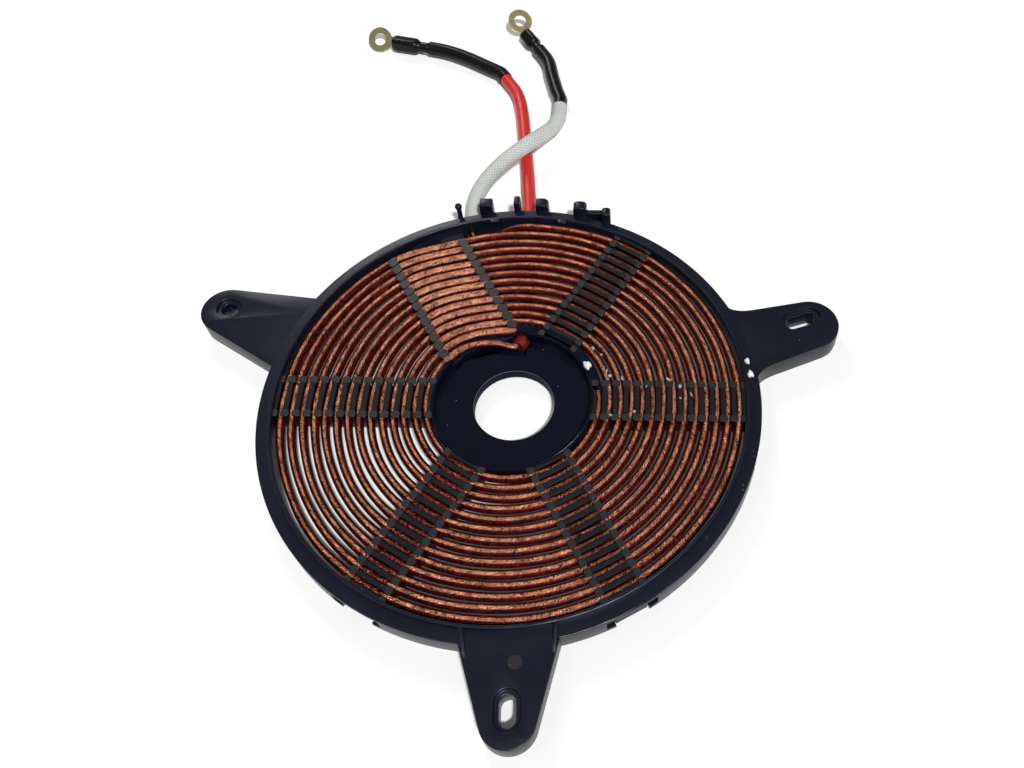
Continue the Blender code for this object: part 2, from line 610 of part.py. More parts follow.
def build_carrier(surface, path):
    shelf_bottom = SHELF_TOP - SHELF_THICKNESS
    skirt_inner = RIM_RADIUS - SKIRT_THICKNESS
    ring_profile = (
        (WALL_INNER_RADIUS, 0.0), (WALL_OUTER_RADIUS, 0.0), (WALL_OUTER_RADIUS, shelf_bottom),
        (skirt_inner, shelf_bottom), (skirt_inner, 0.0), (RIM_RADIUS, 0.0), (RIM_RADIUS, SHELF_TOP),
        (WALL_OUTER_RADIUS, SHELF_TOP), (WALL_OUTER_RADIUS, WALL_TOP), (WALL_INNER_RADIUS, WALL_TOP),
    )
    carrier = spun("coil_former", ring_profile, RING_STEPS, surface)

    root_radius = RIM_RADIUS - EAR_ROOT_INSET
    ear_shapes = [ear_outline(a, RIM_RADIUS + d, r, half, root_radius) for _, a, d, r, half in EARS]
    combine(carrier, prisms("ear_blanks", ear_shapes, 0.0, SHELF_TOP), "UNION")
    fillets = [
        ear_fillet(angle_deg, half, side, outline)
        for (name, angle_deg, _, _, half), outline in zip(EARS, ear_shapes)
        for side in (-1.0, 1.0) if name == FILLETED_EAR
    ]
    combine(carrier, prisms("ear_fillets", fillets, STEP_IN, SHELF_TOP - STEP_IN), "UNION")
    hollow_radius = RIM_RADIUS + EAR_POCKET_MARGIN
    inset = math.degrees(EAR_WALL / hollow_radius) + EAR_POCKET_EASE_DEG
    ear_hollows = [
        ear_outline(a, RIM_RADIUS + d, r - EAR_WALL, half - inset, hollow_radius)
        for _, a, d, r, half in EARS
    ]
    hollow_top = SHELF_TOP - EAR_PLATE
    combine(carrier, prisms("ear_hollows", ear_hollows, -DEPTH_BELOW, hollow_top), "DIFFERENCE")
    bosses = []
    slots = []
    recesses = []
    for _, angle_deg, distance, length in SLOT_PLACES:
        spot = polar(RIM_RADIUS + distance, angle_deg)
        recess_width = SLOT_WIDTH + RECESS_MARGIN * 2
        bosses.append(capsule(spot, angle_deg, length, SLOT_WIDTH + BOSS_WALL * 2, SLOT_STEPS))
        slots.append(capsule(spot, angle_deg, length, SLOT_WIDTH, SLOT_STEPS))
        recesses.append(capsule(spot, angle_deg, length, recess_width, SLOT_STEPS))
    combine(carrier, prisms("ear_bosses", bosses, 0.0, hollow_top + OVERLAP), "UNION")
    combine(carrier, prisms("ear_slots", slots, -DEPTH_BELOW, SHELF_TOP + OVERCUT), "DIFFERENCE")
    recess_floor = SHELF_TOP - RECESS_DEPTH
    combine(carrier, prisms("ear_recesses", recesses, recess_floor, SHELF_TOP + OVERCUT), "DIFFERENCE")

    gussets = bmesh.new()
    for name, angle_deg, _, _, _ in EARS:
        if name == GUSSETED_EAR:
            gusset_into(gussets, angle_deg, 1.0)
            gusset_into(gussets, angle_deg, -1.0)
    combine(carrier, mesh_object("ear_gussets", gussets), "UNION")

    plate_bottom = HUB_PLATE_TOP - HUB_PLATE_THICKNESS
    collar = HOLE_RADIUS + COLLAR_WALL
    wall_inside = HUB_RADIUS - HUB_WALL
    hub_profile = (
        (HOLE_RADIUS, COLLAR_BOTTOM), (collar, COLLAR_BOTTOM), (collar, plate_bottom),
        (wall_inside, plate_bottom), (wall_inside, 0.0), (HUB_RADIUS, 0.0), (HUB_RADIUS, COMB_TOP),
        (wall_inside, COMB_TOP), (wall_inside, HUB_PLATE_TOP), (HOLE_RADIUS, HUB_PLATE_TOP),
    )
    hub = spun("hub_blank", hub_profile, HUB_STEPS)
    tray_top = HUB_PLATE_TOP - STEP_IN
    combine(hub, prisms("pocket_tray", [pocket_outline(TRAY_WALL)], STEP_IN, tray_top), "UNION")
    pocket = prisms("pocket_cut", [pocket_outline(0.0)], TRAY_FLOOR, COMB_TOP + OVERCUT)
    combine(hub, pocket, "DIFFERENCE")

    ring_reach = WALL_INNER_RADIUS + OVERLAP
    spoke_start = HUB_RADIUS - OVERLAP
    spokes = [local_box(a, spoke_start, ring_reach, SPOKE_HALF_WIDTH) for a in SPOKE_ANGLES_DEG]
    combine(hub, prisms("spoke_blanks", spokes, STEP_IN * 2, FLOOR_TOP), "UNION")
    cross_plate = local_box(
        CROSSOVER_DEG, HUB_RADIUS + CROSS_PLATE_MARGIN, WALL_INNER_RADIUS - OVERLAP, CROSS_PLATE_HALF_WIDTH)
    plate_low = FLOOR_BOTTOM + STEP_IN
    plate_high = FLOOR_TOP - STEP_IN
    combine(hub, prisms("crossover_plate", [cross_plate], plate_low, plate_high), "UNION")
    combine(carrier, hub, "UNION")

    reach = RIM_RADIUS + OVERCUT
    channel_start = HUB_RADIUS + CHANNEL_MARGIN
    channels = [local_box(a, channel_start, reach, CHANNEL_HALF_WIDTH) for a in SPOKE_ANGLES_DEG]
    combine(carrier, prisms("bar_channels", channels, -DEPTH_BELOW, FLOOR_BOTTOM), "DIFFERENCE")
    mouth_start = WALL_OUTER_RADIUS + OVERLAP
    mouths = [local_box(a, mouth_start, reach, MOUTH_HALF_WIDTH) for a in MOUTH_ANGLES_DEG]
    combine(carrier, prisms("skirt_mouths", mouths, MOUTH_BOTTOM, shelf_bottom), "DIFFERENCE")
    notches = (
        (plain_box(RUN_CHANNEL_LEFT, RUN_CHANNEL_RIGHT, HUB_RADIUS - RUN_CHANNEL_INSET, reach),
         RUN_CHANNEL_TOP),
        (plain_box(TAIL_X - TAIL_NOTCH_HALF_WIDTH, TAIL_X + TAIL_NOTCH_HALF_WIDTH,
                   TAIL_BEND_Y - TAIL_BEND_RADIUS, reach), TAIL_NOTCH_TOP),
    )
    for i, (outline, top) in enumerate(notches):
        combine(carrier, prisms(f"lead_notch_{i + 1}", [outline], -DEPTH_BELOW, top), "DIFFERENCE")

    webs, lips = comb_outlines(path)
    combine(carrier, prisms("comb_webs", webs, FLOOR_TOP - WEB_EMBED, LIP_BOTTOM + WEB_EMBED), "UNION")
    combine(carrier, prisms("comb_lips", lips, LIP_BOTTOM, COMB_TOP), "UNION")
    ledge = arc_outline(
        HUB_RADIUS - OVERLAP, HUB_RADIUS + LEDGE_OVERHANG, LEDGE_START_DEG, LEDGE_END_DEG, LEDGE_STEPS)
    combine(carrier, prisms("hub_ledge", [ledge], LIP_BOTTOM + STEP_IN, COMB_TOP - STEP_IN), "UNION")

    tall = [post_outline(BLOCK_X, BLOCK_WIDTH), post_outline(GUIDE_X, GUIDE_WIDTH),
            post_outline(CLIP_X, CLIP_WIDTH), post_outline(CLIP_END_X, CLIP_END_WIDTH)]
    combine(carrier, prisms("tall_posts", tall, STEP_IN, POST_TOP), "UNION")
    hook = post_outline(HOOK_X, HOOK_WIDTH)
    combine(carrier, prisms("hook_post", [hook], STEP_IN, POST_TOP - HOOK_DROP), "UNION")
    bar_near = math.sqrt(RIM_RADIUS ** 2 - CLIP_BAR_X ** 2) - POST_INSET
    clip_bar = plain_box(CLIP_BAR_X - CLIP_BAR_WIDTH / 2, CLIP_BAR_X + CLIP_BAR_WIDTH / 2,
                         bar_near, bar_near + POST_DEPTH / 2)
    combine(carrier, prisms("clip_bar", [clip_bar], STEP_IN * 2, CLIP_BAR_TOP), "UNION")
    peg_y = math.sqrt(RIM_RADIUS ** 2 - PEG_X ** 2) + PEG_REACH
    peg = capsule(Vector((PEG_X, peg_y, 0.0)), 90.0, FIT_GAP, PEG_DIAMETER, PEG_STEPS // 2)
    combine(carrier, prisms("peg", [peg], STEP_IN, POST_TOP), "UNION")
    peg_arm = plain_box(PEG_X - PEG_DIAMETER / 4, PEG_X + PEG_DIAMETER / 4, peg_y - PEG_REACH * 2, peg_y)
    arm_top = SHELF_TOP - SHELF_THICKNESS / 2
    combine(carrier, prisms("peg_arm", [peg_arm], STEP_IN * 2, arm_top), "UNION")
    return carrier


def build_bar(name, angle_deg, start, surface):
    shape = bmesh.new()
    prism_into(shape, local_box(angle_deg, start, start + BAR_LENGTH, BAR_HALF_WIDTH), BAR_BOTTOM, BAR_TOP)
    bmesh.ops.bevel(shape, geom=shape.edges[:], offset=BAR_CHAMFER, segments=1, profile=0.5, affect="EDGES")
    return mesh_object(name, shape, surface)


def turned_solid(name, profile, steps, matrix, surface):
    shape = bmesh.new()
    corners = [shape.verts.new((radius, 0.0, height)) for radius, height in profile]
    edges = [shape.edges.new(pair) for pair in zip(corners, corners[1:])]
    bmesh.ops.spin(
        shape, geom=corners + edges, cent=(0.0, 0.0, 0.0), axis=(0.0, 0.0, 1.0),
        angle=math.tau, steps=steps, use_merge=True, use_duplicate=False,
    )
    bmesh.ops.remove_doubles(shape, verts=shape.verts, dist=WELD_DISTANCE)
    bmesh.ops.transform(shape, matrix=matrix, verts=shape.verts)
    return mesh_object(name, shape, surface, smooth=True)


def build_cover(name, face, heading, length, surface):
    outer = COVER_DIAMETER / 2
    side = [(outer * width, length * reach) for width, reach in COVER_SHARES]
    profile = [(0.0, 0.0)] + side + [(0.0, length)]
    turn = Vector((0.0, 0.0, 1.0)).rotation_difference(heading).to_matrix().to_4x4()
    return turned_solid(name, profile, COVER_STEPS, Matrix.Translation(face) @ turn, surface)


def round_outline(centre, radius, steps):
    return [(centre + radius * math.cos(math.tau * i / steps), radius * math.sin(math.tau * i / steps))
            for i in range(steps)]


def build_lug(name, face, heading, tilt_deg, surface):
    pitch, roll = (math.radians(degrees) for degrees in tilt_deg)
    turn = heading.to_track_quat("X", "Z").to_matrix().to_4x4()
    tilt = Matrix.Rotation(-pitch, 4, "Y") @ Matrix.Rotation(roll, 4, "X")
    high = LUG_THICKNESS / 2
    half_width = LUG_TONGUE_WIDTH / 2
    lug = prisms(name, [round_outline(LUG_REACH, LUG_RADIUS, LUG_STEPS)], -high, high)
    lug.data.materials.append(surface)
    tongue = prisms(f"{name}_tongue", [plain_box(0.0, LUG_REACH, -half_width, half_width)], -high, high)
    hole = round_outline(LUG_REACH, LUG_HOLE_RADIUS, LUG_STEPS)
    cut = prisms(f"{name}_hole", [hole], -high - OVERCUT, high + OVERCUT)
    for item in (lug, tongue, cut):
        item.data.transform(Matrix.Translation(face) @ turn @ tilt)
    combine(lug, tongue, "UNION")
    combine(lug, cut, "DIFFERENCE")
    return lug


def build_dab(name, angle_deg, radius, half_size, base, surface):
    scale = Matrix.Diagonal((half_size, half_size * DAB_WIDTH_SHARE, DAB_HEIGHT, 1.0))
    turn = Matrix.Rotation(math.radians(angle_deg + 90.0), 4, "Z")
    place = Matrix.Translation(polar(radius, angle_deg, base + FIT_GAP))
    return turned_solid(name, DAB_PROFILE_SHARES, DAB_STEPS, place @ turn @ scale, surface)


def build_lead(color, sleeve_points, sleeve_radius, shrink_points, cover_length, tilt_deg, surfaces):
    sleeve_surface, shrink_surface, lug_surface = surfaces
    sleeve = catmull(sleeve_points, LEAD_SAMPLE)
    tube(f"{color}_lead", sleeve, sleeve_radius, LEAD_TUBE_STEPS, sleeve_surface)
    heading = (sleeve[-1] - sleeve[-2]).normalized()
    first = sleeve[-1] + heading * FIT_GAP
    shrink = catmull([first, first + heading * JOINT_LENGTH] + shrink_points, LEAD_SAMPLE)
    tube(f"{color}_heat_shrink", shrink, SHRINK_DIAMETER / 2, LEAD_TUBE_STEPS, shrink_surface)
    heading = shrink[-1] - shrink[-2]
    heading.z = 0.0
    heading.normalize()
    face = shrink[-1] + heading * FIT_GAP
    build_cover(f"{color}_crimp_cover", face, heading, cover_length, shrink_surface)
    lug_face = face + heading * (cover_length + FIT_GAP)
    build_lug(f"{color}_ring_terminal", lug_face, heading, tilt_deg, lug_surface)
    parts = zip(sleeve, sleeve[1:])
    return sum((b - a).length for a, b in parts)


def least_turn_gap(path):
    spots = np.array([tuple(point) for point in path])
    dense = np.concatenate([
        spots[:-1] + (spots[1:] - spots[:-1]) * share for share in np.arange(0.0, 1.0, 0.25)])
    order = np.concatenate([np.arange(len(spots) - 1) + share for share in np.arange(0.0, 1.0, 0.25)])
    dense = dense[np.argsort(order)]
    least = np.inf
    for i in range(len(dense)):
        later = dense[i + POINTS_PER_TURN:]
        if len(later):
            least = min(least, float(np.min(np.linalg.norm(later - dense[i], axis=1))))
    return least - STRAND_DIAMETER


def settle_frame():
    bpy.context.view_layer.update()
    graph = bpy.context.evaluated_depsgraph_get()
    low = np.full(3, np.inf)
    high = np.full(3, -np.inf)
    solids = [item for item in bpy.context.scene.objects if not item.hide_render]
    for item in solids:
        if item.name in LEAD_PARTS:
            continue
        shown = item.evaluated_get(graph)
        data = shown.to_mesh()
        spots = np.array([tuple(shown.matrix_world @ vert.co) for vert in data.vertices])
        shown.to_mesh_clear()
        low = np.minimum(low, spots.min(axis=0))
        high = np.maximum(high, spots.max(axis=0))
    frame = bpy.data.objects.new("coil_axis", None)
    bpy.context.scene.collection.objects.link(frame)
    frame.location = (-(low[0] + high[0]) / 2, -(low[1] + high[1]) / 2, 0.0)
    for item in bpy.context.scene.objects:
        if item is not frame:
            item.parent = frame
    bpy.context.view_layer.update()
    print("coil axis stands at", [round(value, 6) for value in frame.location])
    print("size without leads", [round(float(value), 5) for value in high - low])


def main():
    for item in list(bpy.data.objects):
        bpy.data.objects.remove(item, do_unlink=True)

    moulding = material("moulding_black", (0.018, 0.019, 0.024), 0.42)
    copper = material("enamelled_litz", (0.24, 0.045, 0.015), 0.35, 0.6)
    ferrite = material("ferrite_grey", (0.06, 0.06, 0.065), 0.6)
    red = material("red_sleeving", (0.72, 0.045, 0.03), 0.45)
    white = material("white_sleeving", (0.72, 0.76, 0.74), 0.6)
    shrink = material("black_shrink", (0.02, 0.02, 0.022), 0.5)
    brass = material("terminal_brass", (0.55, 0.47, 0.24), 0.35, 1.0)
    glue = material("white_adhesive", (0.85, 0.86, 0.84), 0.4)

    path = start_points() + spiral_points() + end_points()
    tube("litz_winding", path, STRAND_RADIUS, STRAND_TUBE_STEPS, copper)
    print("least gap between turns", round(least_turn_gap(path), 6))
    build_carrier(moulding, spiral_points())

    for i, (angle_deg, share) in enumerate(zip(SPOKE_ANGLES_DEG, BAR_SHIFT_SHARES)):
        start = HUB_RADIUS + BAR_HUB_GAP + LAST_BAR_SHIFT * share
        build_bar(f"ferrite_bar_{i + 1}", angle_deg, start, ferrite)

    heading = polar(1.0, RUN_END_DEG)
    run_end = Vector((RUN_END_X, RUN_END_Y, RUN_HEIGHT))
    run = [run_end, run_end - heading * RUN_HEIGHT]
    span = RIM_RADIUS - HUB_RADIUS
    run += [Vector((x, HUB_RADIUS + span * share, RUN_HEIGHT)) for x, share in zip(RUN_SWAY, RUN_SPAN_SHARES)]
    run.append(Vector((RUN_EXIT_X, RUN_EXIT_Y, RUN_HEIGHT)))
    red_radius = RED_SLEEVE_DIAMETER / 2
    tube("red_inner_run", catmull(run, LEAD_SAMPLE), red_radius, LEAD_TUBE_STEPS, red)

    red_start = Vector((RUN_EXIT_X, RUN_EXIT_Y + FIT_GAP, RUN_HEIGHT))
    red_length = build_lead("red", [red_start] + behind_rim(RED_ROUTE + (RED_SLEEVE_END,)), red_radius,
                            behind_rim(RED_SHRINK_ROUTE + (RED_SHRINK_END,)), RED_COVER_LENGTH,
                            (RED_LUG_PITCH_DEG, RED_LUG_ROLL_DEG), (red, shrink, brass))
    white_start = Vector((TAIL_X, TAIL_END_Y + FIT_GAP, TAIL_HEIGHT))
    white_length = build_lead("white", [white_start] + behind_rim(WHITE_ROUTE + (WHITE_SLEEVE_END,)),
                              WHITE_SLEEVE_DIAMETER / 2, behind_rim(WHITE_SHRINK_ROUTE + (WHITE_SHRINK_END,)),
                              WHITE_COVER_LENGTH, (WHITE_LUG_PITCH_DEG, WHITE_LUG_ROLL_DEG),
                              (white, shrink, brass))
    print("sleeve lengths", round(red_length, 4), round(white_length, 4))

    for name, angle_deg, radius, half_size, base in DABS:
        build_dab(name, angle_deg, radius, half_size, base, glue)
    settle_frame()


main()
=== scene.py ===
# Flat spiral induction coil: moulded former, litz winding, ferrite bars and two sleeved leads.
# Metres, Z up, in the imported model's own frame. Laid out as an add-on and run as a script.

import math

import bmesh
import bpy
from bpy.props import FloatProperty, FloatVectorProperty, IntProperty, PointerProperty
from mathutils import Matrix, Vector
from mathutils.kdtree import KDTree


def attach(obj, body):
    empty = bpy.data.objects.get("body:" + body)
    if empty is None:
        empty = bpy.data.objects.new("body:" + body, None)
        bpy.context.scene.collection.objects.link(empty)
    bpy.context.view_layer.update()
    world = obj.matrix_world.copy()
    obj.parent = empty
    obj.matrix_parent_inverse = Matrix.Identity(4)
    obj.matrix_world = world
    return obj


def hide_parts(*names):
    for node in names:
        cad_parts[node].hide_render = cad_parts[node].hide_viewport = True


bl_info = {
    "name": "Induction Coil",
    "version": (1, 0, 0),
    "blender": (4, 5, 0),
    "location": "3D View > Sidebar > Coil",
    "description": "Dresses the packed coil with its moulded former, litz winding and sleeved leads",
    "category": "Object",
}

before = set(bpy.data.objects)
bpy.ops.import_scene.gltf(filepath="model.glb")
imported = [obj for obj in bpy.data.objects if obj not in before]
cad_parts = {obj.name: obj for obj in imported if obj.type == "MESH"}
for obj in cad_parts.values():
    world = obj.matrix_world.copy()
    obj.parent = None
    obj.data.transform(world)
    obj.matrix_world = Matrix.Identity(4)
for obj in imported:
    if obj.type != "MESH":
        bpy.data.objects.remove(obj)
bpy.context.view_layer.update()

MM = 0.001
BODY = "root"
UP = Vector((0.0, 0.0, 1.0))


def metres(*rows):
    """Rows of places in millimetres, as vectors in metres."""
    return [Vector([value * MM for value in row]) for row in rows]


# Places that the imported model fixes
COIL_AXIS = Vector((-0.589 * MM, 16.066 * MM, 0.0))
SPOKE_ANGLES_DEG = (0.0, 60.0, 120.0, 180.0, 240.0, 300.0)
CROSSOVER_DEG = 120.0
MOUTH_ANGLES_DEG = (240.0, 300.0)
# Ears: angle, distance and radius of the tip, half angle at the root and sweep of its fillet;
# then the slot's angle, distance and length
EARS = {
    "front": (-86.2, 125.7 * MM, 10.0 * MM, 11.6, 0.0, -86.3, 122.3 * MM, 5.5 * MM),
    "left": (161.0, 129.6 * MM, 10.8 * MM, 11.6, 0.0, 160.5, 129.6 * MM, 1.0 * MM),
    "right": (17.9, 128.8 * MM, 12.0 * MM, 9.4, 12.6, 19.6, 126.2 * MM, 8.0 * MM),
}
EAR_ROOT = 95.5 * MM
EAR_PLATE = 2.5 * MM
EAR_WALL, EAR_WALL_DEG, EAR_HOLLOW_ROOT = 2.0 * MM, 1.43, 101.5 * MM
RECESS_DEPTH = 1.4 * MM
SLOT_WIDTH, RECESS_WIDTH, BOSS_WIDTH = 6.0 * MM, 9.2 * MM, 10.4 * MM
BAR_COUNT = 6

# Heights and widths under the winding
FLOOR_LOW, FLOOR_TOP = 5.525 * MM, 6.625 * MM
SPOKE_HALF_WIDTH, BAR_HALF_WIDTH = 8.1 * MM, 6.9 * MM
RUN_HALF_WIDTH, RUN_ROOF = 4.75 * MM, 6.85 * MM
POCKET_FLOOR = 1.6 * MM
HUB_WALL = 1.4 * MM
PLATE_THICKNESS = 1.6 * MM
MOULD_ROUND = 0.4 * MM  # rounding of the moulding's outer edges
HAIR = 0.05 * MM  # keeps the faces of touching pieces apart
PAST = 1.0 * MM  # how far a cutter reaches past what it cuts

# Ring: skirt, its two mouths and the cut for the strand's tail
SKIRT_THICKNESS = 2.0 * MM
MOUTH_START, MOUTH_HALF_WIDTH, MOUTH_LOW = 0.6 * MM, 10.5 * MM, 2.2 * MM
TAIL_CUT_START, TAIL_CUT_TOP = 86.0 * MM, 6.2 * MM

# Hub: collar under the hole, pocket for the strand's start, channel and floor of the inner run, ledge
COLLAR_WALL, COLLAR_LOW = 1.6 * MM, 1.5 * MM
POCKET_RIGHT, POCKET_CORNER = 3.2 * MM, 23.2 * MM
POCKET_PAST_HUB = 0.6 * MM
POCKET_END_DEG, POCKET_END_RADIUS = 146.4, 29.5 * MM
POCKET_FRONT = metres((-21.9, 20.6), (-11.0, 24.4))
POCKET_STEP = 5.5 * MM
HUB_RUN_CUT = (28.1 * MM, 40.0 * MM, 0.3 * MM)
RUN_FLOOR = metres((-6.0, 30.0), (4.75, 30.0), (4.75, 48.0), (-6.0, 48.0))
RUN_FLOOR_TOP = 0.35 * MM
LEDGE_WIDTH, LEDGE_START_DEG, LEDGE_SWEEP_DEG = 3.3 * MM, 8.0, 84.0

# Spokes and the plate under the crossover
SPOKE_START, BAR_CHANNEL_START = 32.3 * MM, 35.5 * MM
CROSS_PLATE_START, CROSS_PLATE_HALF_WIDTH = 27.0 * MM, 18.0 * MM
CROSS_PLATE_CHANNEL = metres((-2.8, 28.0), (4.75, 28.0), (4.75, 101.0), (-4.75, 101.0), (-4.75, 70.0),
                             (-2.8, 50.0))

# Combs
RUNG_SIZE = (16.0 * MM, 2.1 * MM, 0.7 * MM)
KNOB_SIZE, CROSSOVER_KNOB_SIZE = (3.0 * MM, 3.25 * MM), (4.2 * MM, 3.6 * MM)
KNOB_CORNER = 0.9 * MM
KNOB_SIDE = 7.85 * MM
WEB_THICKNESS = 0.5 * MM
WEB_HALF_LENGTH, WEB_LENGTH_SHARE = 8.6 * MM, 0.128  # the longest, and the share of the radius near the hub
CROSSOVER_WEB_LENGTH = 3.0 * MM
KNOB_DEPTH = 0.8 * MM
CROSSOVER_COMB_END = -1.5 * MM

# Route of the strand's two ends, coil axis at zero
START_ROUTE = metres((-0.95, 29.74, 3.65), (-3.4, 29.3, 3.9), (-7.9, 29.8, 5.2), (-12.3, 29.1, 6.6),
                     (-16.5, 27.9, 7.7), (-20.6, 26.2, 8.3), (-24.3, 23.9, 8.5))
END_DIP = ((91.2 * MM, 90.0, 8.5 * MM), (91.2 * MM, 93.6, 8.02 * MM), (90.6 * MM, 97.0, 6.36 * MM),
           (89.6 * MM, 100.1, 4.6 * MM))
TAIL_X = -26.4 * MM
TAIL_HEIGHT = 3.75 * MM
TAIL_BEND_RADIUS = 5.5 * MM
TAIL_BEND_Y = 91.5 * MM
TAIL_END_Y = 97.6 * MM
TAIL_HALF_WIDTH = 1.75 * MM

# Routes of the sleeves, coil axis at zero
RUN_ROUTE = metres((-0.8, 30.0, 3.5), (0.95, 33.03, 3.5), (1.2, 40.0, 3.5), (1.1, 60.0, 3.5),
                   (-0.1, 82.0, 3.5), (-1.2, 94.0, 3.5), (-1.2, 100.4, 3.5))
RED_ROUTE = metres((-1.2, 100.7, 3.5), (-1.6, 106.0, 3.4), (-3.2, 120.0, 3.2), (-5.2, 136.0, 3.2),
                   (-7.4, 152.0, 3.2), (-9.8, 168.0, 3.2), (-13.2, 181.0, 3.3), (-19.8, 191.6, 3.6))
RED_SHRINK_ROUTE = metres((-29.6, 199.4, 3.9), (-40.8, 205.8, 4.0), (-51.4, 210.4, 4.0), (-60.2, 212.4, 4.1))
WHITE_ROUTE = metres((-26.4, 97.9, 3.75), (-27.0, 104.0, 3.8), (-26.4, 112.0, 4.6), (-22.0, 120.8, 7.2),
                     (-14.0, 129.6, 10.3), (-6.0, 138.0, 10.9), (0.8, 146.6, 9.4), (5.6, 156.0, 5.8),
                     (8.2, 164.4, 4.0), (8.4, 172.6, 4.0))
WHITE_SHRINK_ROUTE = metres((6.5, 182.0, 4.0), (3.2, 193.8, 4.0), (0.7, 204.2, 4.0), (-4.6, 213.0, 4.1))
JOINT_GAP = 0.3 * MM
SLEEVE_STEP = 4.0 * MM

# Block, guide, hook, clip and clip end at the back of the ring:
# place across, width, height, roundness of the left and of the right corner
POSTS = metres((-19.6, 5.8, 15.6, 0.7, 0.7), (-6.0, 2.8, 15.6, 1.0, 1.0), (5.1, 5.8, 14.4, 1.2, 2.5),
               (22.2, 6.0, 15.6, 2.2, 2.2), (34.0, 4.0, 15.6, 1.6, 1.6))
POST_DEPTH, POST_SUNK = 4.6 * MM, 1.2 * MM
CLIP_BAR_X, CLIP_BAR_OUT, CLIP_BAR_HEIGHT = 28.4 * MM, 2.0 * MM, 6.1 * MM
CLIP_BAR_SIZE = (8.4 * MM, 2.3 * MM, 11.8 * MM)
PEG_X, PEG_OUT = -31.8 * MM, 2.7 * MM
PEG_RADIUS, PEG_LENGTH, PEG_MIDDLE = 1.15 * MM, 13.6 * MM, 6.9 * MM
PEG_HEAD_RADIUS, PEG_HEAD_HEIGHT = 1.6 * MM, 14.0 * MM
PEG_FOOT_WIDTH, PEG_FOOT_MIDDLE, PEG_FOOT_HEIGHT = 1.5 * MM, 4.4 * MM, 8.4 * MM

# Ribs beside the front ear
RIB_TURN_DEG, RIB_LEAN_DEG = 10.3, 7.0
RIB_HALF_THICKNESS, RIB_REACH = 0.75 * MM, 13.0 * MM

# Small marks, from the coil's axis: lugs on the ring's wall, tabs on its shelf, the front ear's ejector mark
LUG_ANGLES_DEG = (99.5, 81.1)
LUG_SIZE = (3.8 * MM, 1.9 * MM, 0.8 * MM)
TAB_PLACES = ((98.4 * MM, 65.6), (97.2 * MM, 56.7), (95.9 * MM, 139.0))
TAB_SIZE = (1.8 * MM, 1.0 * MM, 0.8 * MM)
EJECTOR_X, EJECTOR_Y = 9.3 * MM, -105.7 * MM
EJECTOR_DISCS = ((2.6 * MM, 0.16 * MM), (2.1 * MM, 0.24 * MM))

# Painted light on the strand: the crossover's band, where its painted highlight is wider, and the spokes it
# lies under in painted shade, with the share of light kept
CROSSOVER_HIGHLIGHT_BAND = (16.5 * MM, 4.0 * MM)
SPOKE_SHADE_BAND = (7.8 * MM, 0.9 * MM)
PAINTED_SHADE_SPOKES = ((60.0, True, 0.22), (300.0, False, 0.5))

# Glue spilt on the combs near the right ear, from the coil's axis
GLUE_BITS = metres((38.4, 11.3), (43.4, 10.2), (53.3, 6.4), (62.2, 9.9), (66.9, 6.6), (67.1, 1.1),
                   (71.4, 2.9), (48.6, -5.4), (39.3, -7.2), (37.0, 13.4), (34.6, 21.4), (31.0, 24.6))

# Dabs of adhesive: node, angle, radius, half length, half width, height of the foot
DABS = (
    ("adhesive_dab_hub", 29.0, 33.2 * MM, 2.3 * MM, 1.8 * MM, 11.5 * MM),
    ("adhesive_dab_rim_inner", 8.3, 96.9 * MM, 1.9 * MM, 1.5 * MM, 9.8 * MM),
    ("adhesive_dab_rim_outer", 12.1, 96.9 * MM, 1.6 * MM, 1.25 * MM, 9.8 * MM),
)

# Camera: direction and roll in degrees, distance, point aimed at, picture's shift in shares of its width
CAMERA_RISE_DEG, CAMERA_TURN_DEG, CAMERA_ROLL_DEG = 58.18, 3.21, 3.51
CAMERA_DISTANCE = 429.58 * MM
CAMERA_AIM = Vector((67.87 * MM, 13.89 * MM, 0.0))
CAMERA_SHIFT = (-169.45 / 1024.0, 1.71 / 1024.0)

# Lights: direction round and up in degrees; then width and power of the softboxes
SUN_TURN_DEG, SUN_RISE_DEG = 300.0, 58.0
SOFTBOXES = {"back_softbox": (112.0, 32.0, 0.2, 2.0), "side_softbox": (200.0, 60.0, 0.25, 0.3)}


def length_property(label, description, default, precision=4):
    return FloatProperty(name=label, description=description, default=default, unit="LENGTH",
                         precision=precision)


def color_property(label, description, default):
    return FloatVectorProperty(name=label, description=description, default=default, subtype="COLOR", size=3)


class FormerSizes(bpy.types.PropertyGroup):
    """Sizes and colours of the moulded former."""
    rim_radius: length_property("Ring radius", "Outer radius of the ring", 100.0 * MM)
    wall_radius: length_property("Wall radius", "Inner radius of the wall round the winding", 93.5 * MM)
    wall_thickness: length_property("Wall thickness", "Thickness of the ring's raised wall", 1.3 * MM)
    wall_top: length_property("Wall top", "Height of the ring's raised wall", 12.4 * MM)
    shelf_top: length_property("Shelf top", "Height of the ring's shelf and of the ears", 9.5 * MM)
    hub_radius: length_property("Hub radius", "Outer radius of the hub's wall", 32.6 * MM)
    hole_radius: length_property("Hole radius", "Radius of the hole in the hub", 16.1 * MM)
    plate_top: length_property("Hub plate top", "Height of the plate round the hole", 6.0 * MM)
    comb_top: length_property("Comb top", "Height of the rungs over the strand", 11.2 * MM)
    moulding_color: color_property("Moulding", "Colour of the black moulding", (0.0030, 0.0039, 0.0115))
    # painted highlight: the hub plate's rounded top edges are coloured lighter
    edge_highlight_color: color_property("Plate edge", "Colour of the hub plate's rubbed edges", (0.085, 0.085, 0.085))
    # the knobs and small marks take this colour made lighter, as a painted highlight
    comb_color: color_property("Combs", "Colour of the rubbed rungs and knobs", (0.0066, 0.0054, 0.0072))
    ferrite_color: color_property("Ferrite", "Colour of the ferrite bars", (0.03, 0.03, 0.033))
    adhesive_color: color_property("Adhesive", "Colour of the set adhesive", (0.82, 0.83, 0.82))
    glue_color: color_property("Spilt glue", "Colour of the bits of glue", (0.42, 0.43, 0.45))


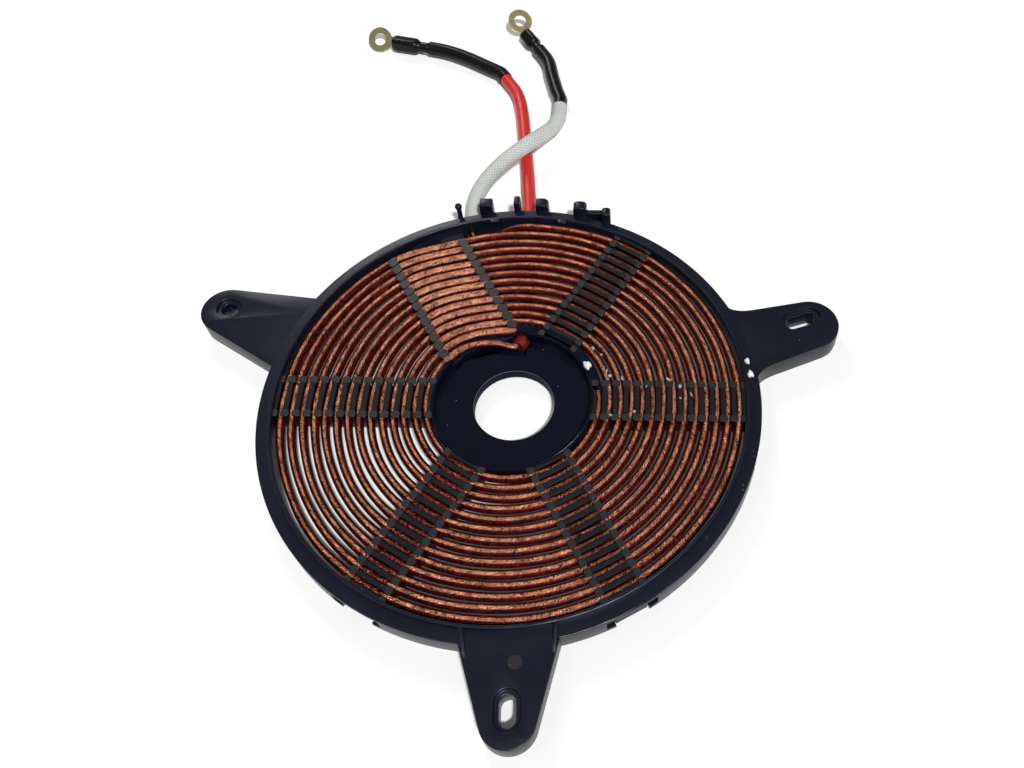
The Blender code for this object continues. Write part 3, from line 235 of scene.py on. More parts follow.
class WindingSizes(bpy.types.PropertyGroup):
    """Sizes and colours of the litz winding."""
    strand_diameter: length_property("Strand diameter", "Diameter of the litz strand", 3.15 * MM)
    first_turn: length_property("First turn", "Radius of the innermost turn", 34.5 * MM)
    last_turn: length_property("Last turn", "Radius of the outermost turn", 90.8 * MM)
    turns: IntProperty(name="Turns", description="Number of turns", default=14, min=2, max=24)
    height: length_property("Height", "Height of the strand's centre", 8.5 * MM)
    crossover: length_property("Crossover half width", "Half the width of the crossover sector", 15.5 * MM)
    bundles: IntProperty(name="Bundles", description="Bundles in the strand", default=11, min=3, max=20)
    wander: length_property("Wander", "How far the strand strays from an even turn", 0.12 * MM, 5)
    lay_length: length_property("Lay length", "Length of one twist of the strand", 19.0 * MM)
    # Painted light on the strand: the enamel's dark red is painted shade in its grooves and on its sides, and
    # the copper's colour is a painted highlight on its top
    painted_shade_color: color_property("Enamel shade", "Colour of the enamel in the grooves", (0.085, 0.0032, 0.0012))
    copper_highlight_color: color_property("Copper", "Colour of the enamelled copper", (1.0, 0.44, 0.25))


class LeadSizes(bpy.types.PropertyGroup):
    """Sizes and colours of the leads."""
    red_diameter: length_property("Red sleeve", "Diameter of the red sleeve", 6.2 * MM)
    white_diameter: length_property("White sleeve", "Diameter of the white sleeve", 7.2 * MM)
    shrink_diameter: length_property("Heat-shrink", "Diameter of the heat-shrink tubes", 7.0 * MM)
    cover_diameter: length_property("Crimp cover", "Diameter of the crimp covers", 8.0 * MM)
    red_cover_length: length_property("Red crimp cover", "Length of the red lead's cover", 19.0 * MM)
    white_cover_length: length_property("White crimp cover", "Length of the white lead's cover", 14.0 * MM)
    red_color: color_property("Red", "Colour of the red sleeve", (0.60, 0.020, 0.017))
    white_color: color_property("White", "Colour of the white sleeve", (0.64, 0.67, 0.63))
    shrink_color: color_property("Black", "Colour of the heat-shrink tubes", (0.003, 0.003, 0.0034))
    brass_color: color_property("Brass", "Colour of the ring terminals", (0.46, 0.40, 0.205))


class StageSizes(bpy.types.PropertyGroup):
    """The floor, the lights and the camera."""
    floor_size: length_property("Floor size", "Width of the floor", 6.0)
    floor_color: color_property("Floor", "Colour of the floor", (0.95, 0.95, 0.95))
    world_strength: FloatProperty(name="Sky", description="Strength of the even light", default=0.16)
    sun_strength: FloatProperty(name="Sun", description="Strength of the main light", default=3.1)
    sun_width_deg: FloatProperty(name="Sun width", description="Main light's width in degrees", default=6.0)
    lens: FloatProperty(name="Lens", description="Focal length in millimetres", default=36.17)


def settings(name):
    return getattr(bpy.context.scene, name)


# Geometry helpers

def polar(radius, degrees, height=0.0):
    turn = math.radians(degrees)
    return Vector((radius * math.cos(turn), radius * math.sin(turn), height))


def direction(turn_deg, rise_deg):
    return polar(math.cos(math.radians(rise_deg)), turn_deg, math.sin(math.radians(rise_deg)))


def flat_points(points):
    return [(spot.x, spot.y) for spot in points]


def smooth_step(value):
    value = min(max(value, 0.0), 1.0)
    return value * value * (3.0 - 2.0 * value)


def catmull(points, spacing):
    """Even points along a smooth line through the given ones."""
    path = [Vector(point) for point in points]
    ends = [path[0] * 2 - path[1]] + path + [path[-1] * 2 - path[-2]]
    made = [path[0]]
    for before, start, finish, after in zip(ends, ends[1:], ends[2:], ends[3:]):
        count = max(1, round((finish - start).length / spacing))
        for i in range(1, count + 1):
            t = i / count
            made.append(0.5 * (
                start * 2.0 + (finish - before) * t
                + (before * 2.0 - start * 5.0 + finish * 4.0 - after) * t ** 2
                + (start * 3.0 - before - finish * 3.0 + after) * t ** 3
            ))
    return made


def add_object(name, data):
    made = bpy.data.objects.new(name, data)
    bpy.context.scene.collection.objects.link(made)
    return made


def mesh_from(shape, name):
    data = bpy.data.meshes.new(name)
    shape.to_mesh(data)
    shape.free()
    return data


def claim(item, node):
    """Puts a piece on the body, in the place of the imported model's node."""
    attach(item, BODY)
    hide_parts(node)
    return item


def smooth_shade(shape, smooth_deg):
    limit = math.radians(smooth_deg)
    for face in shape.faces:
        face.smooth = True
    for edge in shape.edges:
        edge.smooth = len(edge.link_faces) != 2 or edge.calc_face_angle(0.0) < limit


def keep_piece(shape, name, surface, smooth_deg=38.0, node="coil_former"):
    """Turns a bmesh in coil-axis coordinates into a finished piece of the model."""
    bmesh.ops.recalc_face_normals(shape, faces=shape.faces[:])
    bmesh.ops.translate(shape, verts=shape.verts[:], vec=COIL_AXIS)
    smooth_shade(shape, smooth_deg)
    data = mesh_from(shape, name)
    data.materials.append(surface)
    return claim(add_object(name, data), node)


def soften(shape, width, segments=2, limit_deg=32.0):
    """Rounds the sharp edges of a bmesh."""
    limit = math.radians(limit_deg)
    sharp = [e for e in shape.edges if len(e.link_faces) == 2 and e.calc_face_angle(0.0) > limit]
    bmesh.ops.bevel(shape, geom=sharp, offset=width, offset_type="OFFSET", segments=segments, profile=0.5,
                    affect="EDGES", material=-1, clamp_overlap=True)


def draw_out(shape, corners, by):
    """Adds a face on the given corners and extrudes it."""
    face = shape.faces.new([shape.verts.new(corner) for corner in corners])
    grown = bmesh.ops.extrude_face_region(shape, geom=[face])
    moved = [part for part in grown["geom"] if isinstance(part, bmesh.types.BMVert)]
    bmesh.ops.translate(shape, verts=moved, vec=by)


def prism_into(shape, outline, bottom, top):
    draw_out(shape, [(spot[0], spot[1], bottom) for spot in outline], (0.0, 0.0, top - bottom))


def prism_piece(outline, bottom, top, name, surface):
    shape = bmesh.new()
    prism_into(shape, outline, bottom, top)
    return keep_piece(shape, name, surface)


def spin_into(shape, profile, steps, start_deg=0.0, sweep_deg=360.0):
    """Turns a closed profile about the coil's axis, all the way round or as an arc with closed ends."""
    turn = Matrix.Rotation(math.radians(start_deg), 3, "Z")
    corners = [shape.verts.new(turn @ Vector((radius, 0.0, height))) for radius, height in profile]
    edges = [shape.edges.new(pair) for pair in zip(corners, corners[1:] + corners[:1])]
    full = sweep_deg == 360.0
    grown = bmesh.ops.spin(
        shape, geom=corners + edges, cent=(0.0, 0.0, 0.0), axis=UP,
        angle=math.radians(sweep_deg), steps=steps, use_merge=full, use_duplicate=False)
    if not full:
        last = [part for part in grown["geom_last"] if isinstance(part, bmesh.types.BMEdge)]
        bmesh.ops.contextual_create(shape, geom=edges)
        bmesh.ops.contextual_create(shape, geom=last)


def rounded(profile, radius, marks):
    """Replaces the marked corners of a closed profile with small arcs of three points."""
    made = []
    count = len(profile)
    for i, (x, y) in enumerate(profile):
        if i not in marks:
            made.append((x, y))
            continue
        here = Vector((x, y))
        before = (Vector(profile[i - 1]) - here).normalized() * radius
        after = (Vector(profile[(i + 1) % count]) - here).normalized() * radius
        made += flat_points(here + before * (1.0 - share) ** 2 + after * share ** 2
                            for share in (0.0, 0.33, 0.67, 1.0))
    return made


def box_into(shape, centre, along, size):
    """Adds a box with its length along a direction in the plane."""
    turn = Matrix.Rotation(math.atan2(along[1], along[0]), 4, "Z")
    place = Matrix.Translation(centre) @ turn @ Matrix.Diagonal((*size, 1.0))
    bmesh.ops.create_cube(shape, size=1.0, matrix=place)


def disc_into(shape, centre, radius, depth, sides):
    bmesh.ops.create_cone(shape, cap_ends=True, cap_tris=False, segments=sides, radius1=radius,
                          radius2=radius, depth=depth, matrix=Matrix.Translation(centre))


def local_outline(angle_deg, start, end, half_width):
    """A rectangle that runs outwards from the coil's axis."""
    along = polar(1.0, angle_deg)
    across = polar(half_width, angle_deg + 90.0)
    near, far = along * start, along * end
    return flat_points((near - across, far - across, far + across, near + across))


def capsule(centre, direction_deg, length, width):
    """A slot's outline with round ends."""
    along = polar(length / 2, direction_deg)
    steps = 16
    return flat_points(
        polar(width / 2, direction_deg + offset + 180.0 * i / steps) + centre + along * sign
        for sign, offset in ((1.0, -90.0), (-1.0, 90.0)) for i in range(steps + 1))


def run_cutter(start, end, bottom):
    """Cutter for the channel that the red sleeve's inner run lies in."""
    return local_outline(90.0, start, end, RUN_HALF_WIDTH), bottom, RUN_ROOF


def carve(item, cutters):
    """Cuts prisms out of a piece and keeps the result as its mesh."""
    tools = []
    for outline, bottom, top in cutters:
        shape = bmesh.new()
        prism_into(shape, outline, bottom, top)
        bmesh.ops.recalc_face_normals(shape, faces=shape.faces[:])
        bmesh.ops.translate(shape, verts=shape.verts[:], vec=COIL_AXIS)
        tool = add_object("cutter", mesh_from(shape, "cutter"))
        step = item.modifiers.new("cut", "BOOLEAN")
        step.operation = "DIFFERENCE"
        step.solver = "EXACT"
        step.object = tool
        tools.append(tool)
    bpy.context.view_layer.update()
    graph = bpy.context.evaluated_depsgraph_get()
    cut = bpy.data.meshes.new_from_object(item.evaluated_get(graph))
    item.modifiers.clear()
    old = item.data
    item.data = cut
    cut.name = item.name
    bpy.data.meshes.remove(old)
    for tool in tools:
        bpy.data.meshes.remove(tool.data)


def finish_edges(item, width, segments=2, limit_deg=32.0, smooth_deg=38.0):
    """Rounds the edges of a carved piece in its own mesh."""
    shape = bmesh.new()
    shape.from_mesh(item.data)
    bmesh.ops.remove_doubles(shape, verts=shape.verts[:], dist=0.004 * MM)
    bmesh.ops.dissolve_limit(shape, angle_limit=math.radians(1.0), verts=shape.verts[:], edges=shape.edges[:])
    soften(shape, width, segments, limit_deg)
    smooth_shade(shape, smooth_deg)
    shape.to_mesh(item.data)
    shape.free()


def line_curve(name, points, dimensions="3D", cyclic=False):
    """A curve object with straight steps between points, shaded smooth."""
    data = bpy.data.curves.new(name, "CURVE")
    data.dimensions = dimensions
    line = data.splines.new("POLY")
    line.points.add(len(points) - 1)
    for knot, place in zip(line.points, points):
        knot.co = (*place, 1.0)
    line.use_cyclic_u = cyclic
    line.use_smooth = True
    return add_object(name, data)


# The strand's path

def turn_pitch(winding):
    return (winding.last_turn - winding.first_turn) / (winding.turns - 1)


def turn_radius(sweep_deg, winding):
    pitch = turn_pitch(winding)
    crossing = round((sweep_deg - CROSSOVER_DEG) / 360.0)
    away = sweep_deg - CROSSOVER_DEG - 360.0 * crossing
    base = winding.first_turn + pitch * (crossing - 1)
    if abs(away) >= 90.0:
        return base + pitch if away > 0.0 else base
    side = (base + pitch / 2) * math.sin(math.radians(away))
    return base + pitch * smooth_step((side / winding.crossover + 1.0) / 2)


def spiral_points(winding):
    first = CROSSOVER_DEG + 22.5
    last = CROSSOVER_DEG + 360.0 * winding.turns - 37.5
    count = round((last - first) / 3.0)
    sweeps = [first + (last - first) * i / count for i in range(count + 1)]
    return [polar(turn_radius(s, winding), s, winding.height) for s in sweeps]


def end_points():
    """The strand's dip through the ring, its bend and its tail."""
    dip = [polar(*place) for place in END_DIP]
    centre = Vector((TAIL_X + TAIL_BEND_RADIUS, TAIL_BEND_Y, TAIL_HEIGHT))
    bend = [centre + polar(TAIL_BEND_RADIUS, 285.0 - 26.25 * i) for i in range(5)]
    tail = [Vector((TAIL_X, y, TAIL_HEIGHT)) for y in (TAIL_END_Y - 3.0 * MM, TAIL_END_Y)]
    return dip + bend + tail


def resample(points, spacing):
    """Even points along a polyline."""
    lengths = [0.0]
    for a, b in zip(points, points[1:]):
        lengths.append(lengths[-1] + (b - a).length)
    count = round(lengths[-1] / spacing)
    made = []
    j = 0
    for i in range(count + 1):
        want = lengths[-1] * i / count
        while j < len(lengths) - 2 and lengths[j + 1] < want:
            j += 1
        share = (want - lengths[j]) / max(lengths[j + 1] - lengths[j], 1e-9)
        made.append(points[j].lerp(points[j + 1], min(max(share, 0.0), 1.0)))
    return made


def strand_path(winding):
    """The whole strand from the hub's pocket to its tail, straying a little from even turns."""
    turns = spiral_points(winding)
    start = catmull(START_ROUTE + turns[:3], 1.0 * MM)
    end = catmull(turns[-3:] + end_points(), 1.0 * MM)
    route = resample(start[:-1] + turns[3:-3] + end, 2.5 * MM)
    made = []
    for i, place in enumerate(route):
        calm = smooth_step((min(i, len(route) - 1 - i) - 8) / 8)
        side = winding.wander * calm * (math.sin(i * 0.151) + 0.8 * math.sin(i * 0.347 + 1.1))
        lift = winding.wander * calm * (0.7 * math.sin(i * 0.211 + 0.7) + 0.4 * math.sin(i * 0.563))
        outward = Vector((place.x, place.y, 0.0)).normalized()
        made.append(place + outward * side + UP * lift)
    return made


def strand_width(place, height):
    """Share by which the pressed strand is wider than round; it stays round at the left front."""
    turn_deg = math.degrees(math.atan2(place.y, place.x))
    away = abs((turn_deg - 210.0 + 180.0) % 360.0 - 180.0)
    level = smooth_step((place.z - height + 1.0 * MM) / (1.0 * MM))
    inner = smooth_step((place.to_2d().length - 33.0 * MM) / (1.5 * MM))
    return 1.0 + 0.2 * smooth_step((away - 10.0) / 16.0) * level * inner


def crossing_points(path, angle_deg, offset):
    """Where the strand crosses a line beside a spoke, from the inside out."""
    along = polar(1.0, angle_deg)
    across = polar(1.0, angle_deg + 90.0)
    found = []
    for start, finish in zip(path, path[1:]):
        a = start.dot(across) - offset
        b = finish.dot(across) - offset
        if (a > 0.0) == (b > 0.0):
            continue
        spot = start.lerp(finish, a / (a - b))
        if spot.dot(along) > 0.0:
            found.append((spot, (finish - start).normalized()))
    return sorted(found, key=lambda pair: pair[0].dot(along))


def teeth(path, angle_deg, offset, pitch):
    """Places between neighbouring turns, where the combs stand."""
    found = crossing_points(path, angle_deg, offset)
    return [((spot + next_spot) / 2, (heading + next_heading).normalized())
            for (spot, heading), (next_spot, next_heading) in zip(found, found[1:])
            if (next_spot - spot).length < pitch * 1.3]


# Shader helpers

def add_node(tree, kind, inputs=None, **values):
    """Adds a node. An input takes a value, or a link where another node's output is given."""
    made = tree.nodes.new(kind)
    for name, value in values.items():
        setattr(made, name, value)
    for name, value in (inputs or {}).items():
        if isinstance(value, bpy.types.NodeSocket):
            tree.links.new(value, made.inputs[name])
        else:
            made.inputs[name].default_value = value
    return made


def maths(tree, operation, *values):
    return add_node(tree, "ShaderNodeMath", dict(enumerate(values)), operation=operation).outputs[0]


def map_range(tree, value, from_min=0.0, from_max=1.0, to_min=0.0, to_max=1.0):
    return add_node(tree, "ShaderNodeMapRange", {
        "Value": value, "From Min": from_min, "From Max": from_max, "To Min": to_min, "To Max": to_max,
    }).outputs["Result"]


def mix_colors(tree, share, first, second):
    mix = add_node(tree, "ShaderNodeMix", {"Factor": share, "A": first, "B": second}, data_type="RGBA")
    return mix.outputs["Result"]


def noise(tree, place, scale, detail, roughness=0.5):
    return add_node(tree, "ShaderNodeTexNoise", {
        "Vector": place, "Scale": scale, "Detail": detail, "Roughness": roughness,
    }).outputs["Fac"]


def object_place(tree):
    return add_node(tree, "ShaderNodeTexCoord").outputs["Object"]


def bump(tree, height, strength, distance):
    inputs = {"Height": height, "Strength": strength, "Distance": distance}
    return add_node(tree, "ShaderNodeBump", inputs).outputs["Normal"]


def split_axes(tree, vector):
    return add_node(tree, "ShaderNodeSeparateXYZ", {"Vector": vector}).outputs


def shaded(color, share):
    return tuple(value * share for value in color)


def fresh_material(name):
    made = bpy.data.materials.new(name)
    made.use_nodes = True
    return made, made.node_tree, made.node_tree.nodes["Principled BSDF"]


def set_shader(tree, shader, **values):
    """Sets or links the shader's own inputs, with _ for the spaces in their names."""
    for name, value in values.items():
        socket = shader.inputs[name.replace("_", " ")]
        if isinstance(value, bpy.types.NodeSocket):
            tree.links.new(value, socket)
        else:
            socket.default_value = value


def group_node(tree, build, **inputs):
    """Places a shared effect, built at its first use, with _ for the spaces in its inputs' names."""
    groups, name = bpy.data.node_groups, build.__name__
    group = groups.get(name) or build(groups.new(name, "ShaderNodeTree"))
    return add_node(tree, "ShaderNodeGroup", node_tree=group,
                    inputs={name.replace("_", " "): value for name, value in inputs.items()}).outputs


def group_sockets(group, inputs, outputs):
    """Gives a group its named sockets. An input's default is a number, a colour or None for a vector."""
    for label, default in inputs.items():
        kind = {float: "Float", tuple: "Color", type(None): "Vector"}[type(default)]
        socket = group.interface.new_socket(label, in_out="INPUT", socket_type="NodeSocket" + kind)
        if default is not None:
            socket.default_value = default
    for label in outputs:
        kind = "NodeSocketColor" if label == "Color" else "NodeSocketFloat"
        group.interface.new_socket(label, in_out="OUTPUT", socket_type=kind)
    return group.nodes.new("NodeGroupInput").outputs


def mottle_and_grain(group):
    """Cloudy variation between two colours, with a fine grain for the height."""
    start = group_sockets(group, {
        "Vector": None, "Color A": (0.0, 0.0, 0.0, 1.0), "Color B": (1.0, 1.0, 1.0, 1.0), "Cloud Scale": 60.0,
        "Grain Scale": 1800.0, "Rough Low": 0.3, "Rough High": 0.5,
    }, ("Color", "Roughness", "Height"))
    cloud = noise(group, start["Vector"], start["Cloud Scale"], 6.0, 0.6)
    grain = noise(group, start["Vector"], start["Grain Scale"], 2.0)
    color = mix_colors(group, map_range(group, cloud, 0.32, 0.68), start["Color A"], start["Color B"])
    shares = {"Factor": grain, "A": start["Rough Low"], "B": start["Rough High"]}
    rough = add_node(group, "ShaderNodeMix", shares, data_type="FLOAT").outputs["Result"]
    add_node(group, "NodeGroupOutput", {"Color": color, "Roughness": rough, "Height": grain})
    return group


def dust_specks(group):
    """Sparse grains of dust and rub marks."""
    start = group_sockets(group, {
        "Vector": None, "Color": (0.0, 0.0, 0.0, 1.0), "Dust": (0.10, 0.10, 0.11, 1.0), "Scale": 420.0,
    }, ("Color",))
    inputs = {"Vector": start["Vector"], "Scale": start["Scale"]}
    cells = add_node(group, "ShaderNodeTexVoronoi", inputs).outputs
    near = map_range(group, cells["Distance"], 0.16, 0.06)
    split = add_node(group, "ShaderNodeSeparateColor", {"Color": cells["Color"]}).outputs
    rare = maths(group, "GREATER_THAN", split["Red"], 0.93)
    share = maths(group, "MULTIPLY", near, rare)
    add_node(group, "NodeGroupOutput", {"Color": mix_colors(group, share, start["Color"], start["Dust"])})
    return group


def crossed_threads(group):
    """Threads that cross over each other round a sleeve, from its own UV map."""
    start = group_sockets(group, {"Along": 100.0, "Around": 24.0}, ("Height",))
    place = split_axes(group, add_node(group, "ShaderNodeUVMap").outputs["UV"])
    along = maths(group, "MULTIPLY", place["X"], start["Along"])
    around = maths(group, "MULTIPLY", place["Y"], start["Around"])
    turns = [maths(group, "MULTIPLY_ADD", around, sign, along) for sign in (1.0, -1.0)]
    waves = [maths(group, "SINE", maths(group, "MULTIPLY", turn, math.tau)) for turn in turns]
    add_node(group, "NodeGroupOutput", {"Height": map_range(group, maths(group, "MAXIMUM", *waves), -0.6)})
    return group


def twisted_wires(group):
    """Wires twisted along a strand, from its own UV map: rounded crests with sharp grooves between them."""
    start = group_sockets(group, {"Lobes": 11.0, "Twists": 290.0, "Unevenness": 0.0}, ("Crest",))
    place = split_axes(group, add_node(group, "ShaderNodeUVMap").outputs["UV"])
    along = maths(group, "MULTIPLY", place["X"], start["Twists"])
    around = maths(group, "ADD", maths(group, "SUBTRACT", place["Y"], along), start["Unevenness"])
    angle = maths(group, "MULTIPLY", maths(group, "MULTIPLY", around, start["Lobes"]), math.pi)
    add_node(group, "NodeGroupOutput", {"Crest": maths(group, "ABSOLUTE", maths(group, "SINE", angle))})
    return group


def mottled(tree, place, color, other, cloud_scale, grain_scale, rough_low, rough_high):
    return group_node(
        tree, mottle_and_grain, Vector=place, Color_A=(*color, 1.0), Color_B=(*other, 1.0),
        Cloud_Scale=cloud_scale, Grain_Scale=grain_scale, Rough_Low=rough_low, Rough_High=rough_high)


def moulded_plastic(name, color, lighter, rough_low, rough_high, bump_mm=0.02, gloss=0.5):
    """Plastic and the like: mottled, finely grained and a little dusty."""
    if name in bpy.data.materials:
        return bpy.data.materials[name]
    made, tree, shader = fresh_material(name)
    place = object_place(tree)
    mottle = mottled(tree, place, color, shaded(color, lighter), 45.0, 1500.0, rough_low, rough_high)
    specks = group_node(tree, dust_specks, Vector=place, Color=mottle["Color"])
    set_shader(tree, shader, Base_Color=specks["Color"], Roughness=mottle["Roughness"],
               Normal=bump(tree, mottle["Height"], 0.35, bump_mm * MM), Specular_IOR_Level=gloss)
    return made


def sleeve_surface(name, color, thread_shade_share, along, around, roughness, depth_mm, coat=0.0):
    """A braided or woven sleeve, with painted shade between its threads."""
    made, tree, shader = fresh_material(name)
    threads = group_node(tree, crossed_threads, Along=along, Around=around)["Height"]
    mottle = mottled(tree, object_place(tree), color, shaded(color, 0.82), 90.0, 2500.0,
                     roughness - 0.08, roughness + 0.08)
    set_shader(tree, shader, Roughness=mottle["Roughness"], Coat_Weight=coat,
               Base_Color=mix_colors(tree, threads, (*shaded(color, thread_shade_share), 1.0), mottle["Color"]),
               Normal=bump(tree, threads, 0.8, depth_mm * MM))
    return made


def brass_surface(color):
    made, tree, shader = fresh_material("plain_brass")
    mottle = mottled(tree, object_place(tree), color, shaded(color, 0.7), 300.0, 3000.0, 0.25, 0.42)
    set_shader(tree, shader, Base_Color=mottle["Color"], Roughness=mottle["Roughness"], Metallic=1.0)
    return made


def former_surface():
    color = settings("coil_former_sizes").moulding_color
    return moulded_plastic("satin_moulding", color, 1.7, 0.28, 0.44, gloss=0.38)


def hub_surfaces():
    """Finishes of the hub's plate, a little darker as painted shade; of the wall of its hole; and of its
    rounded edges, lighter as a painted highlight.
    """
    former = settings("coil_former_sizes")
    # painted shade: the recessed plate is a little darker than the rest of the moulding
    plate_shade_color = shaded(former.moulding_color, 0.9)
    return (
        moulded_plastic("smooth_hub_plate", plate_shade_color, 1.35, 0.10, 0.16, 0.006, gloss=0.25),
        moulded_plastic("dark_hole_wall", former.moulding_color, 1.5, 0.45, 0.6, 0.01, gloss=0.06),
        moulded_plastic("moulded_edge_painted_highlight", former.edge_highlight_color, 1.4, 0.3, 0.4, 0.005),
    )


def comb_surface():
    color = settings("coil_former_sizes").comb_color
    return moulded_plastic("rubbed_comb", color, 1.5, 0.42, 0.6, gloss=0.22)


# painted highlight: the knobs and the small moulding marks are the combs' colour made lighter, for the glints
# on them
def knob_highlight_surface():
    color = shaded(settings("coil_former_sizes").comb_color, 1.9)
    return moulded_plastic("knobs_painted_highlight", color, 1.5, 0.34, 0.5)


def band_mask(tree, place, angle_deg, half_width, edge, both_ways=False):
    """One inside a straight band that starts at the coil's axis, nought outside it."""
    kind = "ShaderNodeVectorMath"
    centred = add_node(tree, kind, {0: place, 1: COIL_AXIS}, operation="SUBTRACT").outputs["Vector"]
    ahead, aside = [
        add_node(tree, kind, {0: centred, 1: polar(1.0, turn)}, operation="DOT_PRODUCT").outputs["Value"]
        for turn in (angle_deg, angle_deg + 90.0)]
    inside = map_range(tree, maths(tree, "ABSOLUTE", aside), half_width, half_width - edge)
    if both_ways:
        return inside
    return maths(tree, "MULTIPLY", inside, maths(tree, "GREATER_THAN", ahead, 0.0))


def litz_surface(winding, twists):
    """Enamelled copper with painted light: a painted highlight on the wires' upward-facing crests, and
    painted shade in dark red in the grooves between them.
    """
    made, tree, shader = fresh_material("enamelled_copper_painted_light")
    place = object_place(tree)
    cloud = noise(tree, place, 260.0, 5.0, 0.65)
    stray = maths(tree, "MULTIPLY", noise(tree, place, 620.0, 2.0), 0.34)
    bundles, wires = [
        group_node(tree, twisted_wires, Lobes=lobes, Twists=twists, Unevenness=stray)["Crest"]
        for lobes in (winding.bundles, winding.bundles * 4)]
    height = maths(tree, "MULTIPLY_ADD", cloud, 0.9, maths(tree, "MULTIPLY_ADD", wires, 0.25, bundles))

    # painted highlight on top, wider in the crossover; painted shade between the rungs of three slanted
    # spokes
    crossover = band_mask(tree, place, CROSSOVER_DEG, *CROSSOVER_HIGHLIGHT_BAND)
    upward = split_axes(tree, add_node(tree, "ShaderNodeNewGeometry").outputs["Normal"])["Z"]
    top = map_range(tree, upward, map_range(tree, crossover, to_min=0.925, to_max=0.45), 0.988)
    # painted shade: darker in the grooves between the bundles
    shade = maths(tree, "MULTIPLY", map_range(tree, bundles, 0.10, 0.75), top)
    shade = maths(tree, "MULTIPLY", shade, map_range(tree, cloud, 0.32, 0.66, 0.25))
    for angle_deg, both_ways, kept in PAINTED_SHADE_SPOKES:
        band = band_mask(tree, place, angle_deg, *SPOKE_SHADE_BAND, both_ways)
        shade = maths(tree, "MULTIPLY", shade, map_range(tree, band, to_min=1.0, to_max=kept))
    # painted highlight in the copper's colour where the strand faces up, painted shade in dark red elsewhere
    color = mix_colors(tree, shade, (*winding.painted_shade_color, 1.0), (*winding.copper_highlight_color, 1.0))
    set_shader(tree, shader, Base_Color=color, Metallic=map_range(tree, shade, to_min=0.88, to_max=0.35),
               Normal=bump(tree, height, 0.9, 0.2 * MM), Roughness=0.3, Coat_Weight=0.05, Coat_Roughness=0.3)
    return made


# Operators

class COIL_OT_ring(bpy.types.Operator):
    """Make the ring: its raised wall, its shelf and its skirt with two mouths"""
    bl_idname = "coil.ring"
    bl_label = "Ring"

    def execute(self, context):
        former = settings("coil_former_sizes")
        wall_out = former.wall_radius + former.wall_thickness
        under = former.shelf_top - PLATE_THICKNESS
        skirt_in = former.rim_radius - SKIRT_THICKNESS
        profile = rounded((
            (former.wall_radius, 0.0), (wall_out, 0.0), (wall_out, under), (skirt_in, under), (skirt_in, 0.0),
            (former.rim_radius, 0.0), (former.rim_radius, former.shelf_top), (wall_out, former.shelf_top),
            (wall_out, former.wall_top), (former.wall_radius, former.wall_top),
        ), MOULD_ROUND, (5, 6, 8, 9))
        shape = bmesh.new()
        spin_into(shape, profile, 240)
        ring = keep_piece(shape, "ring", former_surface())
        inside, reach = former.wall_radius - PAST, former.rim_radius + PAST
        cutters = [(local_outline(angle_deg, inside, reach, BAR_HALF_WIDTH), -PAST, FLOOR_LOW)
                   for angle_deg in SPOKE_ANGLES_DEG]
        mouth_start = wall_out + MOUTH_START
        cutters += [(local_outline(angle_deg, mouth_start, reach, MOUTH_HALF_WIDTH), MOUTH_LOW, under)
                    for angle_deg in MOUTH_ANGLES_DEG]
        left, right = TAIL_X - TAIL_HALF_WIDTH, TAIL_X + TAIL_HALF_WIDTH
        tail = [(left, TAIL_CUT_START), (right, TAIL_CUT_START), (right, reach), (left, reach)]
        carve(ring, cutters + [run_cutter(inside, reach, -PAST), (tail, -PAST, TAIL_CUT_TOP)])
        finish_edges(ring, 0.12 * MM, 1, 60.0)
        return {"FINISHED"}


